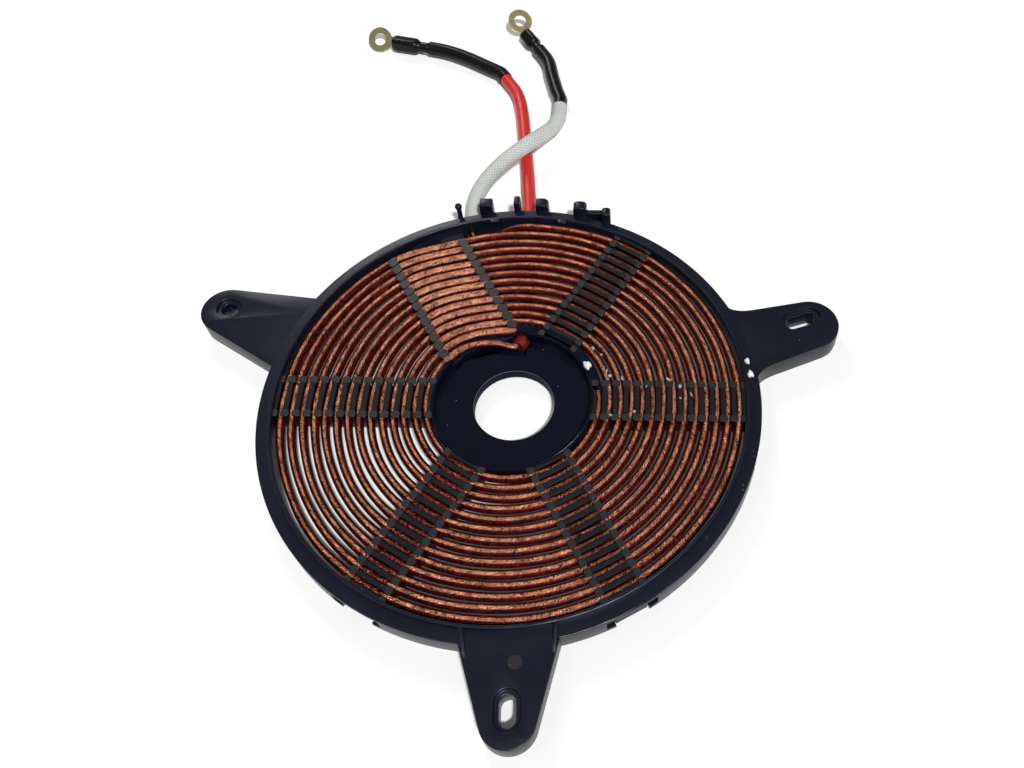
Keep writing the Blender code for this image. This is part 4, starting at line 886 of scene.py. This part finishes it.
class COIL_OT_hub(bpy.types.Operator):
    """Make the hub: its wall, the plate round the hole, the pocket and the ledge"""
    bl_idname = "coil.hub"
    bl_label = "Hub"

    def execute(self, context):
        former = settings("coil_former_sizes")
        plate_surface, hole_surface, edge_highlight_surface = hub_surfaces()
        inside = former.hub_radius - HUB_WALL
        collar = former.hole_radius + COLLAR_WALL
        plate_low = former.plate_top - PLATE_THICKNESS
        profile = rounded((
            (former.hole_radius, COLLAR_LOW), (collar, COLLAR_LOW), (collar, plate_low), (inside, plate_low),
            (inside, 0.0), (former.hub_radius, 0.0), (former.hub_radius, former.comb_top),
            (inside, former.comb_top), (inside, former.plate_top), (former.hole_radius, former.plate_top),
        ), MOULD_ROUND, (6, 7, 9))
        shape = bmesh.new()
        spin_into(shape, profile, 160)
        hub = keep_piece(shape, "hub", plate_surface)
        run = run_cutter(*HUB_RUN_CUT)
        over = former.comb_top + PAST
        carve(hub, [(self.pocket(former, 0.0, inside + 0.1 * MM), POCKET_FLOOR, over),
                    (self.pocket(former, 0.0), POCKET_STEP, over), run])
        finish_edges(hub, 0.15 * MM, 2, 60.0, 15.0)
        hub.data.materials.append(hole_surface)
        hub.data.materials.append(edge_highlight_surface)
        # the hole's wall takes the dull finish; the rounded edges just under the plate's top take the painted
        # highlight
        for face in hub.data.polygons:
            place = face.center - COIL_AXIS
            if place.to_2d().length < collar and abs(face.normal.z) < 0.3:
                face.material_index = 1
            elif 0.3 <= face.normal.z < 0.95 and 0.01 * MM < former.plate_top - place.z < 0.4 * MM:
                face.material_index = 2

        outline = self.pocket(former, HUB_WALL)
        tray = prism_piece(outline, HAIR, former.plate_top - HAIR, "pocket_tray", plate_surface)
        carve(tray, [(self.pocket(former, 0.0), POCKET_FLOOR, former.comb_top), run])
        finish_edges(tray, 0.15 * MM, 2, 60.0, 15.0)

        prism_piece(RUN_FLOOR, HAIR, RUN_FLOOR_TOP, "run_floor", plate_surface)

        start, end = former.hub_radius - 0.5 * MM, former.hub_radius + LEDGE_WIDTH
        low, high = former.comb_top - 0.75 * MM, former.comb_top - HAIR
        profile = rounded(((start, low), (end, low), (end, high), (start, high)), 0.3 * MM, (2,))
        shape = bmesh.new()
        spin_into(shape, profile, 60, LEDGE_START_DEG, LEDGE_SWEEP_DEG)
        keep_piece(shape, "hub_ledge", plate_surface)
        return {"FINISHED"}

    @staticmethod
    def pocket(former, grow, arc_radius=0.0):
        """Outline of the pocket that the strand starts in, grown by a wall where one is wanted."""
        arc_radius = arc_radius or former.hub_radius + POCKET_PAST_HUB - grow
        right = POCKET_RIGHT + grow
        start_deg = math.degrees(math.acos(right / arc_radius))
        end_deg = POCKET_END_DEG + math.degrees(grow / arc_radius)
        arc = flat_points(polar(arc_radius, start_deg + (end_deg - start_deg) * i / 18) for i in range(19))
        front = [polar(POCKET_END_RADIUS - grow, end_deg)]
        front += [spot - Vector((0.0, grow)) for spot in POCKET_FRONT]
        return [(right, POCKET_CORNER - grow)] + arc + flat_points(front)


class COIL_OT_spokes(bpy.types.Operator):
    """Make the spokes with their bar channels and the plate under the crossover"""
    bl_idname = "coil.spokes"
    bl_label = "Spokes"

    def execute(self, context):
        former = settings("coil_former_sizes")
        surface = former_surface()
        reach = former.wall_radius + 0.3 * MM
        for i, angle_deg in enumerate(SPOKE_ANGLES_DEG):
            outline = local_outline(angle_deg, SPOKE_START, reach, SPOKE_HALF_WIDTH)
            spoke = prism_piece(outline, 0.2 * MM, FLOOR_TOP, f"spoke_{i + 1}", surface)
            channel = local_outline(angle_deg, BAR_CHANNEL_START, reach + PAST, BAR_HALF_WIDTH)
            cutters = [(channel, -PAST, FLOOR_LOW)]
            if angle_deg == CROSSOVER_DEG:
                cutters.append((COIL_OT_hub.pocket(former, 0.0), POCKET_FLOOR, FLOOR_LOW))
            carve(spoke, cutters)
            finish_edges(spoke, 0.2 * MM, 2)
        end = former.wall_radius - 0.6 * MM
        outline = local_outline(CROSSOVER_DEG, CROSS_PLATE_START, end, CROSS_PLATE_HALF_WIDTH)
        circle = flat_points(polar(former.hub_radius - 0.1 * MM, 4.0 * i) for i in range(90))
        plate = prism_piece(outline, FLOOR_LOW + 0.1 * MM, FLOOR_TOP - 0.1 * MM, "crossover_plate", surface)
        hub_cutter = circle, FLOOR_LOW - 0.5 * MM, FLOOR_TOP + 0.5 * MM
        carve(plate, [hub_cutter, (CROSS_PLATE_CHANNEL, -PAST, RUN_ROOF)])
        finish_edges(plate, 0.15 * MM, 1)
        return {"FINISHED"}


class COIL_OT_combs(bpy.types.Operator):
    """Make the webs between the turns and the rungs with their knobs over them"""
    bl_idname = "coil.combs"
    bl_label = "Combs"

    def execute(self, context):
        former = settings("coil_former_sizes")
        winding = settings("coil_winding_sizes")
        pitch = turn_pitch(winding)
        path = spiral_points(winding)
        level = Vector((0.0, 0.0, former.comb_top - KNOB_DEPTH / 2))
        under = former.comb_top - KNOB_DEPTH
        webs, rungs, knobs = bmesh.new(), bmesh.new(), bmesh.new()
        for angle_deg in SPOKE_ANGLES_DEG:
            if angle_deg == CROSSOVER_DEG:
                continue
            places = teeth(path, angle_deg, 0.0, pitch)
            for centre, heading in places:
                half_length = min(WEB_HALF_LENGTH, WEB_LENGTH_SHARE * centre.to_2d().length)
                self.web(webs, centre, heading, 2 * half_length, under)
            for centre, heading in self.end_places(places, angle_deg, pitch):
                top = centre.to_2d().to_3d() + level
                box_into(rungs, top, heading, RUNG_SIZE)
                for side in (-KNOB_SIDE, KNOB_SIDE):
                    self.knob(knobs, top + heading * side, heading, KNOB_SIZE)
        for offset in (-winding.crossover, winding.crossover):
            for centre, heading in teeth(path, CROSSOVER_DEG, offset, pitch):
                if centre.x <= CROSSOVER_COMB_END:
                    self.web(webs, centre, heading, CROSSOVER_WEB_LENGTH, under)
                    self.knob(knobs, centre.to_2d().to_3d() + level, heading, CROSSOVER_KNOB_SIZE)
        soften(webs, 0.12 * MM, 1)
        soften(rungs, 0.22 * MM, 1)
        soften(knobs, 0.2 * MM, 1, 60.0)
        keep_piece(webs, "comb_webs", former_surface())
        keep_piece(rungs, "comb_rungs", comb_surface())
        keep_piece(knobs, "comb_knobs", knob_highlight_surface())
        return {"FINISHED"}

    @staticmethod
    def end_places(places, angle_deg, pitch):
        """A spoke's rungs, with one more over the hub's edge and one over the ring's wall."""
        step = polar(pitch, angle_deg)
        (first, first_heading), (last, last_heading) = places[0], places[-1]
        return [(first - step, first_heading)] + places + [(last + step, last_heading)]

    @staticmethod
    def web(shape, centre, heading, length, under):
        """The thin wall that stands between two turns."""
        middle = Vector((centre.x, centre.y, (FLOOR_TOP + under) / 2))
        box_into(shape, middle, heading, (length, WEB_THICKNESS, under - FLOOR_TOP + 0.4 * MM))

    @staticmethod
    def knob(shape, centre, heading, size):
        """One knob, a square block with round corners."""
        length, width = size
        turn = Matrix.Rotation(math.atan2(heading.y, heading.x), 3, "Z")
        outline = []
        for x, y, start_deg in ((1, 1, 0.0), (-1, 1, 90.0), (-1, -1, 180.0), (1, -1, 270.0)):
            middle = Vector((x * (length / 2 - KNOB_CORNER), y * (width / 2 - KNOB_CORNER), 0.0))
            outline += [centre + turn @ (middle + polar(KNOB_CORNER, start_deg + along_deg))
                        for along_deg in (0.0, 45.0, 90.0)]
        prism_into(shape, outline, centre.z - KNOB_DEPTH / 2, centre.z + KNOB_DEPTH / 2)


class COIL_OT_ears(bpy.types.Operator):
    """Make the three ears with their slots, recesses and hollow undersides"""
    bl_idname = "coil.ears"
    bl_label = "Ears"

    def execute(self, context):
        former = settings("coil_former_sizes")
        surface = former_surface()
        plate_low = former.shelf_top - EAR_PLATE
        over = former.shelf_top + PAST
        for name, row in EARS.items():
            angle_deg, distance, tip_radius, half_deg, fillet_deg, slot_deg, slot_distance, slot_length = row
            root = former.rim_radius - 1.0 * MM
            outline = self.outline(angle_deg, distance, tip_radius, half_deg, root, fillet_deg)
            ear = prism_piece(outline, 0.0, former.shelf_top - 0.01 * MM, f"{name}_ear", surface)
            hollow = self.outline(angle_deg, distance, tip_radius - EAR_WALL, half_deg - EAR_WALL_DEG,
                                  EAR_HOLLOW_ROOT, 0.0)
            carve(ear, [(hollow, -PAST, plate_low)])
            spot = polar(slot_distance, slot_deg)
            slot, recess, boss_rim = [capsule(spot, slot_deg, slot_length, width)
                                      for width in (SLOT_WIDTH, RECESS_WIDTH, BOSS_WIDTH)]
            carve(ear, [(slot, -PAST, over), (recess, former.shelf_top - RECESS_DEPTH, over)])
            finish_edges(ear, 0.35 * MM, 3)
            boss = prism_piece(boss_rim, 0.0, plate_low + 0.3 * MM, f"{name}_ear_boss", surface)
            carve(boss, [(slot, -PAST, former.shelf_top)])
            finish_edges(boss, 0.2 * MM, 2, 60.0)
        return {"FINISHED"}

    @staticmethod
    def outline(angle_deg, distance, tip_radius, half_deg, root_radius, fillet_deg):
        """An ear's outline: round tip, straight sides down to the ring and, where asked, fillets there."""
        centre = polar(distance, angle_deg)
        half_root = EAR_ROOT * math.sin(math.radians(half_deg))
        span = distance - EAR_ROOT * math.cos(math.radians(half_deg))
        lean = math.degrees(math.atan2(half_root - tip_radius, span))
        start = angle_deg - 90.0 + lean
        tip = [centre + polar(tip_radius, start + (180.0 - 2.0 * lean) * i / 28) for i in range(29)]
        sides = []
        for side, edge in ((1.0, tip[-1]), (-1.0, tip[0])):
            root = polar(EAR_ROOT, angle_deg + side * half_deg)
            along = (edge - root).normalized()
            ahead = root.dot(along)
            reach = -ahead + math.sqrt(ahead ** 2 + root_radius ** 2 - root.length_squared)
            corner = root + along * reach
            far = polar(root_radius, angle_deg + side * fillet_deg)
            finish = corner + along * 10.0 * MM
            shares = [i / 8 for i in range(9)]
            curve = [finish.lerp(corner, share).lerp(corner.lerp(far, share), share) for share in shares]
            sides.append(curve if fillet_deg else [corner])
        inner = [polar(root_radius - 0.4 * MM, angle_deg + half_deg * (1.0 - i / 4)) for i in range(1, 8)]
        return flat_points(tip + sides[0] + inner + sides[1][::-1])


class COIL_OT_posts(bpy.types.Operator):
    """Make the posts at the back of the ring and the ribs beside the front ear"""
    bl_idname = "coil.posts"
    bl_label = "Posts"

    def execute(self, context):
        former = settings("coil_former_sizes")
        shape = bmesh.new()
        for row in POSTS:
            self.post(shape, *row, self.rim_y(former, row[0]) - POST_SUNK)
        bar = Vector((CLIP_BAR_X, self.rim_y(former, CLIP_BAR_X) + CLIP_BAR_OUT, CLIP_BAR_HEIGHT))
        box_into(shape, bar, (1.0, 0.0), CLIP_BAR_SIZE)
        soften(shape, 0.4 * MM, 3)
        peg_y = self.rim_y(former, PEG_X) + PEG_OUT
        disc_into(shape, Vector((PEG_X, peg_y, PEG_MIDDLE)), PEG_RADIUS, PEG_LENGTH, 24)
        bmesh.ops.create_uvsphere(shape, u_segments=24, v_segments=14, radius=PEG_HEAD_RADIUS,
                                  matrix=Matrix.Translation((PEG_X, peg_y, PEG_HEAD_HEIGHT)))
        box_into(shape, Vector((PEG_X, peg_y - PEG_OUT, PEG_FOOT_MIDDLE)), (1.0, 0.0),
                 (PEG_FOOT_WIDTH, 2 * PEG_OUT, PEG_FOOT_HEIGHT))
        keep_piece(shape, "lead_posts", former_surface())

        shape = bmesh.new()
        for side in (1.0, -1.0):
            self.rib(shape, former, EARS["front"][0], side)
        soften(shape, 0.2 * MM, 2)
        keep_piece(shape, "front_ear_ribs", former_surface())
        return {"FINISHED"}

    @staticmethod
    def rim_y(former, x):
        """How far back the ring's rim lies at a place across."""
        return math.sqrt(former.rim_radius ** 2 - x ** 2)

    @staticmethod
    def post(shape, x, width, top, left_round, right_round, near):
        """One post: its outline with a rounded top, drawn out away from the ring."""
        left, right = x - width / 2, x + width / 2
        outline = [Vector((left, near, HAIR)), Vector((right, near, HAIR))]
        rounds = ((right - right_round, right_round, 0.0), (left + left_round, left_round, 90.0))
        for middle, radius, start_deg in rounds:
            for i in range(6):
                spot = polar(radius, start_deg + 18.0 * i)
                outline.append(Vector((middle + spot.x, near, top - radius + spot.y)))
        draw_out(shape, outline, (0.0, POST_DEPTH, 0.0))

    @staticmethod
    def rib(shape, former, ear_deg, side):
        """A triangular rib between the ring's wall and the shelf."""
        lean_deg = ear_deg - side * RIB_LEAN_DEG
        across = polar(RIB_HALF_THICKNESS, lean_deg + 90.0)
        root = polar(former.wall_radius + former.wall_thickness - 0.6 * MM, ear_deg + side * RIB_TURN_DEG)
        low, high = UP * (former.shelf_top - 0.6 * MM), UP * (former.wall_top - 0.3 * MM)
        ends = [[shape.verts.new(spot + step) for step in (low, polar(RIB_REACH, lean_deg) + low, high)]
                for spot in (root - across, root + across)]
        rib = shape.faces.new(ends[0])
        other = shape.faces.new(ends[1][::-1])
        bmesh.ops.bridge_loops(shape, edges=list(rib.edges) + list(other.edges))


class COIL_OT_details(bpy.types.Operator):
    """Make the small marks of the moulding and the spilt glue"""
    bl_idname = "coil.details"
    bl_label = "Small details"

    def execute(self, context):
        former = settings("coil_former_sizes")
        shape = bmesh.new()
        for turn_deg in LUG_ANGLES_DEG:
            middle = polar(former.wall_radius - 0.6 * MM, turn_deg, former.wall_top - 0.5 * MM)
            box_into(shape, middle, polar(1.0, turn_deg + 90.0), LUG_SIZE)
        for radius, turn_deg in TAB_PLACES:
            middle = polar(radius, turn_deg, former.shelf_top + 0.1 * MM)
            box_into(shape, middle, polar(1.0, turn_deg + 90.0), TAB_SIZE)
        soften(shape, 0.2 * MM, 2)
        for radius, depth in EJECTOR_DISCS:
            disc_into(shape, Vector((EJECTOR_X, EJECTOR_Y, former.shelf_top)), radius, depth, 48)
        # the marks take the knobs' lighter colour: painted highlight
        keep_piece(shape, "moulding_marks", knob_highlight_surface())

        shape = bmesh.new()
        for i, (x, y) in enumerate(GLUE_BITS):
            half = (0.9 + 0.35 * math.sin(i * 2.3)) * MM, (0.55 + 0.2 * math.cos(i * 1.7)) * MM, 0.4 * MM
            place = Matrix.Translation((x, y, former.comb_top + HAIR)) @ Matrix.Rotation(i * 1.9, 4, "Z")
            bmesh.ops.create_icosphere(shape, subdivisions=2, radius=1.0,
                                       matrix=place @ Matrix.Diagonal((*half, 1.0)))
        for vert in shape.verts:
            vert.co.z += 0.18 * MM * math.sin(vert.co.x * 2900.0) * math.sin(vert.co.y * 3100.0)
        glue = moulded_plastic("spilt_glue", former.glue_color, 0.6, 0.08, 0.2, 0.08)
        keep_piece(shape, "glue_bits", glue, 60.0, "adhesive_dab_hub")
        return {"FINISHED"}


class COIL_OT_winding(bpy.types.Operator):
    """Make the litz strand: one twisted bundle wound in fourteen turns"""
    bl_idname = "coil.winding"
    bl_label = "Winding"

    def execute(self, context):
        winding = settings("coil_winding_sizes")
        path = strand_path(winding)
        outline = [polar(winding.strand_diameter / 2, 20.0 * i) for i in range(18)]
        section = line_curve("strand_section", outline, dimensions="2D", cyclic=True)
        line = line_curve("strand_curve", [place + COIL_AXIS for place in path])
        line.data.twist_mode = "Z_UP"
        line.data.use_fill_caps = True
        line.data.bevel_mode = "OBJECT"
        line.data.bevel_object = section
        context.view_layer.update()
        graph = context.evaluated_depsgraph_get()
        data = bpy.data.meshes.new_from_object(line.evaluated_get(graph))
        data.name = "winding"
        for item in (line, section):
            bpy.data.curves.remove(item.data)
        self.press(data, path, winding.height)
        length = sum((b - a).length for a, b in zip(path, path[1:]))
        data.materials.clear()
        data.materials.append(litz_surface(winding, length / winding.lay_length))
        claim(add_object("winding", data), "litz_winding")
        return {"FINISHED"}

    @staticmethod
    def press(data, path, height):
        """Widens the strand where it lies pressed between the combs."""
        knots = KDTree(len(path))
        for i, place in enumerate(path):
            knots.insert(place + COIL_AXIS, i)
        knots.balance()
        for vert in data.vertices:
            place = path[knots.find(vert.co)[1]]
            outward = Vector((place.x, place.y, 0.0)).normalized()
            side = (vert.co - COIL_AXIS - place).dot(outward)
            vert.co += outward * side * (strand_width(place, height) - 1.0)


class COIL_OT_bars(bpy.types.Operator):
    """Give the ferrite bars their finish"""
    bl_idname = "coil.bars"
    bl_label = "Ferrite bars"

    def execute(self, context):
        color = settings("coil_former_sizes").ferrite_color
        surface = moulded_plastic("sintered_ferrite", color, 1.5, 0.55, 0.75, 0.05)
        for i in range(BAR_COUNT):
            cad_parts[f"ferrite_bar_{i + 1}"].material_slots[0].material = surface
        return {"FINISHED"}


class COIL_OT_leads(bpy.types.Operator):
    """Make the two sleeved leads with their heat-shrink tubes, crimp covers and ring terminals"""
    bl_idname = "coil.leads"
    bl_label = "Leads"

    def execute(self, context):
        leads = settings("coil_lead_sizes")
        red = sleeve_surface("red_braided_sleeve", leads.red_color, 0.75, 60.0, 18.0, 0.42, 0.06, 0.1)
        white = sleeve_surface("woven_white_sleeving", leads.white_color, 0.5, 48.0, 14.0, 0.62, 0.16)
        # painted shade: the inner run, under the winding and the ledge, is the red sleeve made darker
        run_shade_color = shaded(leads.red_color, 0.34)
        run_shade_surface = sleeve_surface("red_sleeving_painted_shade", run_shade_color, 0.2 / 0.34, 60.0, 18.0, 0.5, 0.06)
        shrink = moulded_plastic("heat_shrink", leads.shrink_color, 1.8, 0.26, 0.38, 0.03, gloss=0.2)
        brass = brass_surface(leads.brass_color)
        claim(self.tube("red_run", RUN_ROUTE, leads.red_diameter, run_shade_surface), "red_inner_run")
        rows = (
            ("red", RED_ROUTE, RED_SHRINK_ROUTE, leads.red_diameter, leads.red_cover_length, red),
            ("white", WHITE_ROUTE, WHITE_SHRINK_ROUTE, leads.white_diameter, leads.white_cover_length, white),
        )
        for color, route, shrink_route, diameter, cover_length, surface in rows:
            sleeve = self.tube(f"{color}_sleeve", route, diameter, surface)
            claim(sleeve, f"{color}_lead")
            knots = self.knots(sleeve)
            heading = (knots[-1] - knots[-2]).normalized()
            first = knots[-1] + heading * JOINT_GAP
            shrunk = self.tube(f"{color}_shrink", [first, first + heading * SLEEVE_STEP] + shrink_route,
                               leads.shrink_diameter, shrink)
            claim(shrunk, f"{color}_heat_shrink")
            before, end = self.knots(shrunk)[-2:]
            flat = (end - before).to_2d().to_3d().normalized()
            face = end + flat * JOINT_GAP
            cover = self.cover(color, face, flat, leads.cover_diameter / 2, cover_length, shrink)
            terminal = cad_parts[f"{color}_ring_terminal"]
            terminal.material_slots[0].material = brass
        return {"FINISHED"}

    @staticmethod
    def tube(name, route, diameter, surface):
        item = line_curve(name, [place + COIL_AXIS for place in catmull(route, SLEEVE_STEP)])
        item.data.bevel_depth = diameter / 2
        item.data.bevel_resolution = 8
        item.data.use_fill_caps = True
        item.data.materials.append(surface)
        return item

    @staticmethod
    def knots(item):
        """A tube's points, with the coil's axis at zero."""
        return [Vector(knot.co[:3]) - COIL_AXIS for knot in item.data.splines[0].points]

    @staticmethod
    def cover(color, face, heading, radius, length, surface):
        """Sleeve shrunk over the terminal's crimp: a wrinkled neck and a squarish body."""
        profile = (
            (0.0, 0.0), (0.60, 0.0), (0.67, 0.02), (0.68, 0.07), (0.63, 0.12), (0.67, 0.17), (0.62, 0.22),
            (0.68, 0.27), (0.84, 0.32), (0.96, 0.36), (1.0, 0.42), (0.98, 0.68), (1.0, 0.88), (0.95, 0.96),
            (0.84, 1.0), (0.0, 1.0),
        )
        shape = bmesh.new()
        corners = [shape.verts.new((r * radius, 0.0, z * length)) for r, z in profile]
        edges = [shape.edges.new(pair) for pair in zip(corners, corners[1:])]
        bmesh.ops.spin(shape, geom=corners + edges, cent=(0.0, 0.0, 0.0), axis=UP,
                       angle=math.tau, steps=48, use_merge=True, use_duplicate=False)
        bmesh.ops.remove_doubles(shape, verts=shape.verts[:], dist=0.002 * MM)
        for vert in shape.verts:
            square = smooth_step((vert.co.z / length - 0.27) / 0.15)
            turn = math.atan2(vert.co.y, vert.co.x)
            vert.co.xy *= 1.0 - 0.15 * square * math.cos(2.0 * turn) ** 2
        turn = UP.rotation_difference(heading).to_matrix().to_4x4()
        bmesh.ops.transform(shape, matrix=Matrix.Translation(face) @ turn, verts=shape.verts[:])
        return keep_piece(shape, f"{color}_cover", surface, 60.0, f"{color}_crimp_cover")


class COIL_OT_adhesive(bpy.types.Operator):
    """Make the dabs of white adhesive"""
    bl_idname = "coil.adhesive"
    bl_label = "Adhesive"

    def execute(self, context):
        color = settings("coil_former_sizes").adhesive_color
        surface = moulded_plastic("set_white_adhesive", color, 0.88, 0.3, 0.45, 0.05)
        for i, (node, angle_deg, radius, half_length, half_width, base) in enumerate(DABS):
            shape = bmesh.new()
            bmesh.ops.create_icosphere(shape, subdivisions=4, radius=1.0)
            for vert in shape.verts:
                turn = math.atan2(vert.co.y, vert.co.x)
                ripple = 1.0 + 0.13 * math.sin(turn * 3 + i * 1.7) + 0.08 * math.sin(turn * 5 + i)
                vert.co.xy *= 0.88 * ripple
                vert.co.z = max(vert.co.z, -0.05)
            place = Matrix.Translation(polar(radius, angle_deg, base - 0.25 * MM))
            turn = Matrix.Rotation(math.radians(angle_deg + 90.0), 4, "Z")
            size = Matrix.Diagonal((half_length, half_width, 1.3 * MM, 1.0))
            bmesh.ops.transform(shape, matrix=place @ turn @ size, verts=shape.verts[:])
            keep_piece(shape, f"dab_{i + 1}", surface, 80.0, node)
        return {"FINISHED"}


class COIL_OT_stage(bpy.types.Operator):
    """Set up the floor, the lights and the camera"""
    bl_idname = "coil.stage"
    bl_label = "Stage"

    def execute(self, context):
        stage = settings("coil_stage_sizes")
        shape = bmesh.new()
        bmesh.ops.create_grid(shape, x_segments=1, y_segments=1, size=stage.floor_size / 2)
        data = mesh_from(shape, "floor")
        data.materials.append(self.floor_surface(stage.floor_color))
        add_object("floor", data)

        world = bpy.data.worlds.new("studio")
        world.use_nodes = True
        tree = world.node_tree
        seen = add_node(tree, "ShaderNodeLightPath").outputs["Is Camera Ray"]
        back = tree.nodes["Background"]
        back.inputs["Color"].default_value = (1.0, 1.0, 1.0, 1.0)
        tree.links.new(map_range(tree, seen, to_min=stage.world_strength), back.inputs["Strength"])
        context.scene.world = world

        sun = bpy.data.lights.new("main_light", "SUN")
        sun.energy = stage.sun_strength
        sun.angle = math.radians(stage.sun_width_deg)
        self.lamp(sun, direction(SUN_TURN_DEG, SUN_RISE_DEG))
        for name, (turn_deg, rise_deg, width, power) in SOFTBOXES.items():
            box = bpy.data.lights.new(name, "AREA")
            box.shape = "SQUARE"
            box.size = width
            box.energy = power
            self.lamp(box, direction(turn_deg, rise_deg)).location = direction(turn_deg, rise_deg)
        context.scene.camera = self.camera(stage)
        context.scene.view_settings.view_transform = "Standard"
        return {"FINISHED"}

    @staticmethod
    def lamp(light, away):
        """Hangs a lamp that shines from a direction towards the coil."""
        item = add_object(light.name, light)
        item.rotation_euler = away.to_track_quat("Z", "Y").to_euler()
        return item

    @staticmethod
    def camera(stage):
        data = bpy.data.cameras.new("camera")
        data.lens = stage.lens
        data.sensor_width = 36.0
        data.shift_x, data.shift_y = CAMERA_SHIFT
        data.clip_start = 0.01
        data.clip_end = 20.0
        camera = add_object("camera", data)
        forward = direction(90.0 - CAMERA_TURN_DEG, -CAMERA_RISE_DEG)
        camera.location = COIL_AXIS + CAMERA_AIM - forward * CAMERA_DISTANCE
        turn = forward.to_track_quat("-Z", "Y").to_matrix()
        camera.rotation_euler = (turn @ Matrix.Rotation(math.radians(CAMERA_ROLL_DEG), 3, "Z")).to_euler()
        return camera

    @staticmethod
    def floor_surface(color):
        """Pale floor that glows a little where the camera or a reflection sees it."""
        made, tree, shader = fresh_material("pale_floor")
        set_shader(tree, shader, Base_Color=(*color, 1.0), Roughness=0.9)
        path = add_node(tree, "ShaderNodeLightPath").outputs
        seen = maths(tree, "MAXIMUM", path["Is Camera Ray"], path["Is Glossy Ray"])
        glow = add_node(tree, "ShaderNodeEmission", {"Color": (1.0, 1.0, 1.0, 1.0)})
        mix = add_node(tree, "ShaderNodeMixShader", {
            "Fac": maths(tree, "MULTIPLY", seen, 0.05), 1: shader.outputs[0], 2: glow.outputs[0]})
        tree.links.new(mix.outputs[0], tree.nodes["Material Output"].inputs["Surface"])
        return made


class COIL_PT_panel(bpy.types.Panel):
    """The coil's sizes and the steps that make it"""
    bl_idname = "COIL_PT_panel"
    bl_label = "Induction Coil"
    bl_space_type = "VIEW_3D"
    bl_region_type = "UI"
    bl_category = "Coil"

    def draw(self, context):
        layout = self.layout
        for name, kind in SETTINGS:
            box = layout.box()
            for key in kind.__annotations__:
                box.prop(getattr(context.scene, name), key)
        for operator in OPERATORS:
            layout.operator(operator.bl_idname)


SETTINGS = (
    ("coil_former_sizes", FormerSizes),
    ("coil_winding_sizes", WindingSizes),
    ("coil_lead_sizes", LeadSizes),
    ("coil_stage_sizes", StageSizes),
)
OPERATORS = (
    COIL_OT_stage, COIL_OT_leads, COIL_OT_ring, COIL_OT_hub, COIL_OT_spokes, COIL_OT_combs,
    COIL_OT_ears, COIL_OT_posts, COIL_OT_details, COIL_OT_winding, COIL_OT_bars, COIL_OT_adhesive,
)


def register():
    for _, kind in SETTINGS:
        bpy.utils.register_class(kind)
    for kind in OPERATORS + (COIL_PT_panel,):
        bpy.utils.register_class(kind)
    for name, kind in SETTINGS:
        setattr(bpy.types.Scene, name, PointerProperty(type=kind))


def unregister():
    for name, _ in SETTINGS:
        delattr(bpy.types.Scene, name)
    for kind in (COIL_PT_panel,) + OPERATORS[::-1]:
        bpy.utils.unregister_class(kind)
    for _, kind in reversed(SETTINGS):
        bpy.utils.unregister_class(kind)


def main():
    register()
    bpy.ops.coil.stage()
    bpy.ops.coil.leads()
    bpy.ops.coil.ring()
    bpy.ops.coil.hub()
    bpy.ops.coil.spokes()
    bpy.ops.coil.combs()
    bpy.ops.coil.ears()
    bpy.ops.coil.posts()
    bpy.ops.coil.details()
    bpy.ops.coil.winding()
    bpy.ops.coil.bars()
    bpy.ops.coil.adhesive()


if __name__ == "__main__":
    main()
